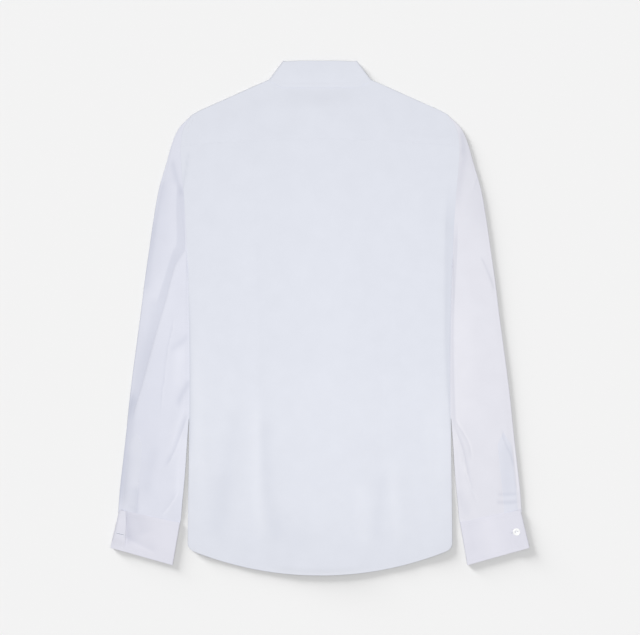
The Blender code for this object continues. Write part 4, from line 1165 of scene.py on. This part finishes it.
poplin_collar = woven_poplin("cotton_poplin_fused_collar", "#ECEEF5", "#EAECF3", 0.0, 0.35)
neck, fold, _, rings, lean, sign = collar_round(-TAB_SHARE)
stand_rows = []
for share in spaced(STAND_HIGH, 3.0):
    ring = mix(rings[:, 0], rings[:, 1], share)
    stand_rows.append(collar_points(mix(neck, fold, share), lean, ring, sign))
stand = cloth("collar_stand_band", np.stack(stand_rows), poplin_collar, thickness=COLLAR_PLY)
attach(stand, "root")
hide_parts("collar_stand")

neck, fold, edge, rings, lean, sign = collar_round(LEAF_START)
ring = rings[:, 1]
rise = fold - neck
rise /= np.linalg.norm(rise, axis=1)[:, None]
outer_ring = LEAF_RING + COLLAR_SKIN
FOLD_ROWS = 13
radius = (outer_ring - ring) / 2
leaf_rows = []
for angle in np.linspace(0, math.pi, FOLD_ROWS):
    plan = fold + rise * (FOLD_GAP + radius * math.sin(angle))[:, None]
    leaf_rows.append(collar_points(plan, lean, ring + radius * (1 - math.cos(angle)), sign))
for share in LEAF_SHARES[1:]:
    distance = (1 - share) * LEAF_HIGH
    soft = ridge(distance, 4.0, 0.10, 2.2) + ridge(distance, LEAF_STITCH, -0.10, 0.7)
    droop = LEAF_DROOP * ramp(0.35, 1.0, share) * ramp(0.2, 0.9, lean[:, 2])
    leaf_rows.append(collar_points(mix(fold, edge, share), lean, outer_ring + soft - droop, sign))
leaf_grid = np.stack(leaf_rows)
leaf = cloth("collar_leaf_fall", leaf_grid, poplin_collar, thickness=COLLAR_PLY)
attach(leaf, "root")
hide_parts("collar_leaf")
rows = leaf_grid.shape[0]
stitched = np.interp(1 - LEAF_STITCH / LEAF_HIGH, LEAF_SHARES, np.arange(FOLD_ROWS - 1, rows))
along = 0.03 + 0.94 * EVEN
edge_line, edge_out = on_grid(leaf_grid, stitched / (rows - 1), along)
upward = np.interp(along, np.linspace(0, 1, sign.size), lean[:, 2])
first_back, last_back = np.flatnonzero(upward > 0.5)[[0, -1]]
stitches("collar_leaf_stitching_back",
         [(edge_line[first_back:last_back], edge_out[first_back:last_back])], leaf,
         lift=COLLAR_PLY / 2)
downward = np.flatnonzero(upward < -0.5)
points = np.split(downward, np.flatnonzero(np.diff(downward) > 1) + 1)
stitches("collar_leaf_stitching_points", [(edge_line[run], edge_out[run]) for run in points],
         leaf, up=-1, lift=COLLAR_PLY / 2)


# ------------------------------------------------------------------ buttons
# Two-hole shirt buttons of pearly polyester, turned with a raised rim and a
# dished middle.  Seven close the front, and each cuff has one.

PEARL_HOLE, PEARL_HOLE_OUT = 0.85, 1.45


def pearl_resin(name):
    """Polyester resin with mica, turned and polished: glossy white with soft clouds."""
    made, tree, shader = surface(name, {
        "Roughness": 0.22, "IOR": 1.55, "Coat Weight": 0.4, "Coat Roughness": 0.12})
    place = add(tree, "TexCoord", {})
    clouds = add(tree, "TexNoise", {"Scale": 1 / (4.0 * MM), "Detail": 3.0,
                                              "Distortion": 1.2}, {"Vector": (place, "Object")})
    tone = between(tree, clouds, "#F4F5F6", "#FFFFFF", (0.35, 0.65))
    tree.links.new(tone.outputs["Color"], shader.inputs["Base Color"])
    return made


pearl = pearl_resin("pearly_polyester_resin_turned")


def button_mesh():
    """One button, back at z = 0: a turned disc with two holes cut through its dished middle."""
    radius, high = BUTTON_RADIUS, BUTTON_HIGH
    profile = (
        (0.0, 0.50 * high), (0.22 * radius, 0.51 * high), (0.40 * radius, 0.60 * high),
        (0.52 * radius, 0.78 * high), (0.62 * radius, 0.93 * high), (0.74 * radius, high),
        (0.85 * radius, 0.99 * high), (0.94 * radius, 0.86 * high), (0.99 * radius, 0.66 * high),
        (radius, 0.48 * high), (0.96 * radius, 0.26 * high), (0.85 * radius, 0.08 * high),
        (0.70 * radius, 0.0), (0.0, 0.0),
    )
    work = bmesh.new()
    points = [work.verts.new((r * MM, 0, h * MM)) for r, h in profile]
    for low, high_point in zip(points, points[1:]):
        work.edges.new((low, high_point))
    bmesh.ops.spin(work, geom=work.verts[:] + work.edges[:], cent=(0, 0, 0), axis=(0, 0, 1),
                   angle=2 * math.pi, steps=48, use_merge=True)
    bmesh.ops.remove_doubles(work, verts=work.verts, dist=0.000002)
    bmesh.ops.recalc_face_normals(work, faces=work.faces)
    mesh = bpy.data.meshes.new("turned_disc")
    work.to_mesh(mesh)
    work.free()
    disc = put("turned_disc", mesh)
    for hole in (-1, 1):
        drill = bmesh.new()
        bmesh.ops.create_cone(drill, cap_ends=True, segments=20, depth=8 * MM,
                              radius1=PEARL_HOLE * MM, radius2=PEARL_HOLE * MM)
        bmesh.ops.translate(drill, verts=drill.verts, vec=(hole * PEARL_HOLE_OUT * MM, 0, 0))
        bit_mesh = bpy.data.meshes.new("bit")
        drill.to_mesh(bit_mesh)
        drill.free()
        bit = put("bit", bit_mesh)
        cut = disc.modifiers.new("Hole", "BOOLEAN")
        cut.operation = "DIFFERENCE"
        cut.object = bit
    bpy.context.view_layer.update()
    graph = bpy.context.evaluated_depsgraph_get()
    made = bpy.data.meshes.new_from_object(disc.evaluated_get(graph))
    for thing in [disc] + [cut.object for cut in disc.modifiers]:
        bpy.data.objects.remove(thing)
    made.materials.clear()
    made.materials.append(pearl)
    made.shade_smooth()
    made.set_sharp_from_angle(angle=math.radians(40))
    return made


turned = button_mesh()


def ring_faces(rings, around, closed=True):
    """Quads between rings of points that follow one another."""
    faces = []
    for ring in range(rings - 1):
        for k in range(around if closed else around - 1):
            a, b = ring * around + k, ring * around + (k + 1) % around
            faces.append((a, b, b + around, a + around))
    return faces


def strand(name, path, radius, host, sides=8):
    """A short round length of thread along a path of points."""
    path = np.array(path)
    along = np.gradient(path, axis=0)
    along /= np.linalg.norm(along, axis=1)[:, None]
    aside = np.tile((0.0, 1.0, 0.0), (len(path), 1))
    across = np.cross(along, aside)
    turn = np.linspace(0, 2 * math.pi, sides + 1)[:-1]
    rings = (path[:, None] + radius * (aside[:, None] * np.cos(turn)[:, None]
                                       + across[:, None] * np.sin(turn)[:, None]))
    faces = [tuple(range(sides))[::-1], tuple(range((len(path) - 1) * sides, len(path) * sides))]
    faces += ring_faces(len(path), sides)
    return thread_piece(name, rings.reshape(-1, 3), faces, host)


def sew_on(name, node, x, y, back_z, up, turn):
    """A button with its back at back_z, facing up (1) or down (-1), and the thread through it."""
    piece = put(name, turned)
    piece.rotation_euler = (0 if up > 0 else math.pi, 0, turn)
    piece.location = Vector((x, y, back_z)) * MM
    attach(piece, "root")
    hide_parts(node)
    half_loop = ((1.0, -0.1), (1.0, 1.15), (0.6, 1.42))
    for number, at in enumerate((-0.28, 0.0, 0.28)):
        path = [(-out * PEARL_HOLE_OUT, at, high) for out, high in half_loop]
        path += [(-aside, at, high) for aside, at, high in path[::-1]]
        strand("%s_thread_%d" % (name, number), path, 0.16, piece)
    return piece


CUFF_BUTTON_IN = {LEFT: 9.8, RIGHT: 14.0}
for word, side in SIDES.items():
    _, above, lap = cuff_levels(side)
    seat = (lap - LAP_PRESSED if side == RIGHT else above) + CUFF_WALL / 2 + 0.1
    x, y = cuff_place(np.array(CUFF_BUTTON_IN[side] / CUFF_WIDTH), np.array(CUFF_BUTTON_DOWN), side)
    sew_on("button_cuff_" + word, "cuff_button_" + word, x, y, seat, 1, 0.0)
COLLAR_BUTTON_Y, FRONT_BUTTON_Y, BUTTON_STEP = 294.0, 219.0, 88.0
FRONT_BUTTONS = [(number, FRONT_BUTTON_Y - (number - 1) * BUTTON_STEP) for number in range(1, 7)]
sew_on("button_collar", "button_1", 0, COLLAR_BUTTON_Y, BUTTON_HIGH, -1, 0.0)
for number, y in FRONT_BUTTONS:
    sew_on("button_front_%d" % number, "button_%d" % (number + 1), 0, y, BUTTON_HIGH, -1,
           math.pi / 2)


# ------------------------------------------------------------------ buttonholes
# Each buttonhole is a slit whose edges are covered with close thread.  They run
# along the strip, and across on the collar and the cuffs.

HOLE_LONG, HOLE_WIDE = 12.6, 1.5
# The slit is a dark sheet: painted shadow in the gap, drawn with the thread's material.
slit_shade = cotton_thread("slit_in_shadow", "#70748A", "#7C8096")


def buttonhole(name, x, y, z, up, angle, host):
    """The thread bead round a slit, and the shadowed slit in it."""
    half, wide = HOLE_LONG / 2, HOLE_WIDE / 2
    turn = np.linspace(0, 2 * math.pi, 120)
    along = (half - wide) * np.tanh(3 * np.cos(turn)) / np.tanh(3) + wide * np.cos(turn)
    aside = wide * np.tanh(2.2 * np.sin(turn))
    bead = 0.12 * np.sin(turn * 60)
    points, bead_rings = [], ((1.35, 0.0), (1.2, 0.22), (0.8, 0.26), (0.42, 0.05))
    for ring_wide, ring_high in bead_rings:
        ring_along = along + np.sign(along) * (ring_wide - 1) * wide
        ring_aside = aside * ring_wide * (1 + bead)
        points.append(np.stack((ring_along, ring_aside, np.full(turn.size, ring_high)), -1))
    faces = ring_faces(len(bead_rings), turn.size, closed=False)
    first = len(bead_rings) * turn.size
    faces.append(tuple(range(first, first + turn.size - 1)))
    slit = np.stack((along * 0.99, aside * 0.5, np.full(turn.size, 0.06)), -1)
    points = np.concatenate((*points, slit))
    c, s = math.cos(angle), math.sin(angle)
    px = points[:, 0] * c - points[:, 1] * s + x
    py = points[:, 0] * s + points[:, 1] * c + y
    pz = z + points[:, 2] * up
    piece = thread_piece(name, np.stack((px, py, pz), -1), faces, host, smooth=False)
    piece.data.materials.append(slit_shade)
    piece.data.polygons[len(faces) - 1].material_index = 1


for number, y in FRONT_BUTTONS:
    buttonhole("buttonhole_front_%d" % number, 0, y, STRIP_Z - 0.02, -1, math.pi / 2, strip)
buttonhole("buttonhole_collar", 1.5, COLLAR_BUTTON_Y, STRIP_Z - 0.02, -1, 0.0, stand)
CUFF_HOLE = {
    # from the outer fold, share of the way down, pressed; the open lap's has slid off its button
    LEFT: (10.0, 0.585, 0), RIGHT: (16.4, CUFF_BUTTON_DOWN, LAP_PRESSED),
}
for word, side in SIDES.items():
    _, _, lap = cuff_levels(side)
    middle, down, pressed = CUFF_HOLE[side]
    x, y = cuff_place(np.array(middle / CUFF_WIDTH), np.array(down), side)
    buttonhole("buttonhole_cuff_" + word, x, y, lap - pressed + CUFF_WALL / 2 + 0.02, 1,
               0.25 * side, cuffs[side])


# ------------------------------------------------------------------ studio
# A plain pale floor and soft light: a broad lamp overhead, an even room, and a low
# soft light across the floor alone, which draws the long shadow to the lower right.

FLOOR = "#E7E7E7"
ROOM, OVERHEAD, LOW_SUN, KEY = 0.45, 0.31, 0.362, 23.6  # strengths
PIXEL, ACROSS = 1.5, 640  # millimetres that a pixel of the render shows, and its width
floor_mesh = bpy.data.meshes.new("floor")
work = bmesh.new()
bmesh.ops.create_grid(work, x_segments=1, y_segments=1, size=3.0)
work.to_mesh(floor_mesh)
work.free()
floor = put("floor", floor_mesh)
floor.location.z = -0.0002
paper, _, _ = surface("seamless_studio_paper", {
    "Base Color": linear(FLOOR), "Roughness": 0.95, "Specular IOR Level": 0.1})
floor_mesh.materials.append(paper)

world = bpy.data.worlds.new("room")
world.use_nodes = True
world.node_tree.nodes["Background"].inputs["Color"].default_value = (1.0, 1.0, 1.0, 1)
world.node_tree.nodes["Background"].inputs["Strength"].default_value = ROOM
bpy.context.scene.world = world

lit_floor = bpy.data.collections.new("lit_floor")
lit_floor.objects.link(floor)
lit_shirt = bpy.data.collections.new("lit_shirt")
lit_shirt.objects.link(floor)
lit_shirt.collection_objects[0].light_linking.link_state = "EXCLUDE"


def sun(name, toward, strength, softness):
    """A far light on the floor, from a direction, as soft as a source of that angle."""
    lamp = bpy.data.lights.new(name, "SUN")
    lamp.energy = strength
    lamp.angle = math.radians(softness)
    piece = put(name, lamp)
    piece.rotation_euler = Vector(toward).to_track_quat("Z", "Y").to_euler()
    piece.light_linking.receiver_collection = lit_floor
    return piece


sun("floor_overhead", (0, 0, 1), OVERHEAD * math.pi, 60)
LOW = Vector((-0.66, 0.61, 0.185)).normalized()
sun("floor_low", LOW, LOW_SUN * math.pi / LOW.z, 20)

key = bpy.data.lights.new("key_overhead", "AREA")
key.shape = "DISK"
key.size = 0.75
key.energy = KEY
key_lamp = put("key_overhead", key)
key_lamp.location = (0.02, -0.03, 1.9)
key_lamp.visible_camera = False
key_lamp.light_linking.receiver_collection = lit_shirt

LENS, SENSOR = 85.0, 36.0
camera_data = bpy.data.cameras.new("camera")
camera_data.lens = LENS
camera_data.sensor_width = SENSOR
camera = put("camera", camera_data)
camera.location = (0, 0.5 * PIXEL * MM, ACROSS * PIXEL * MM * LENS / SENSOR)
bpy.context.scene.camera = camera
bpy.context.scene.view_settings.view_transform = "Standard"

bpy.context.view_layer.update()
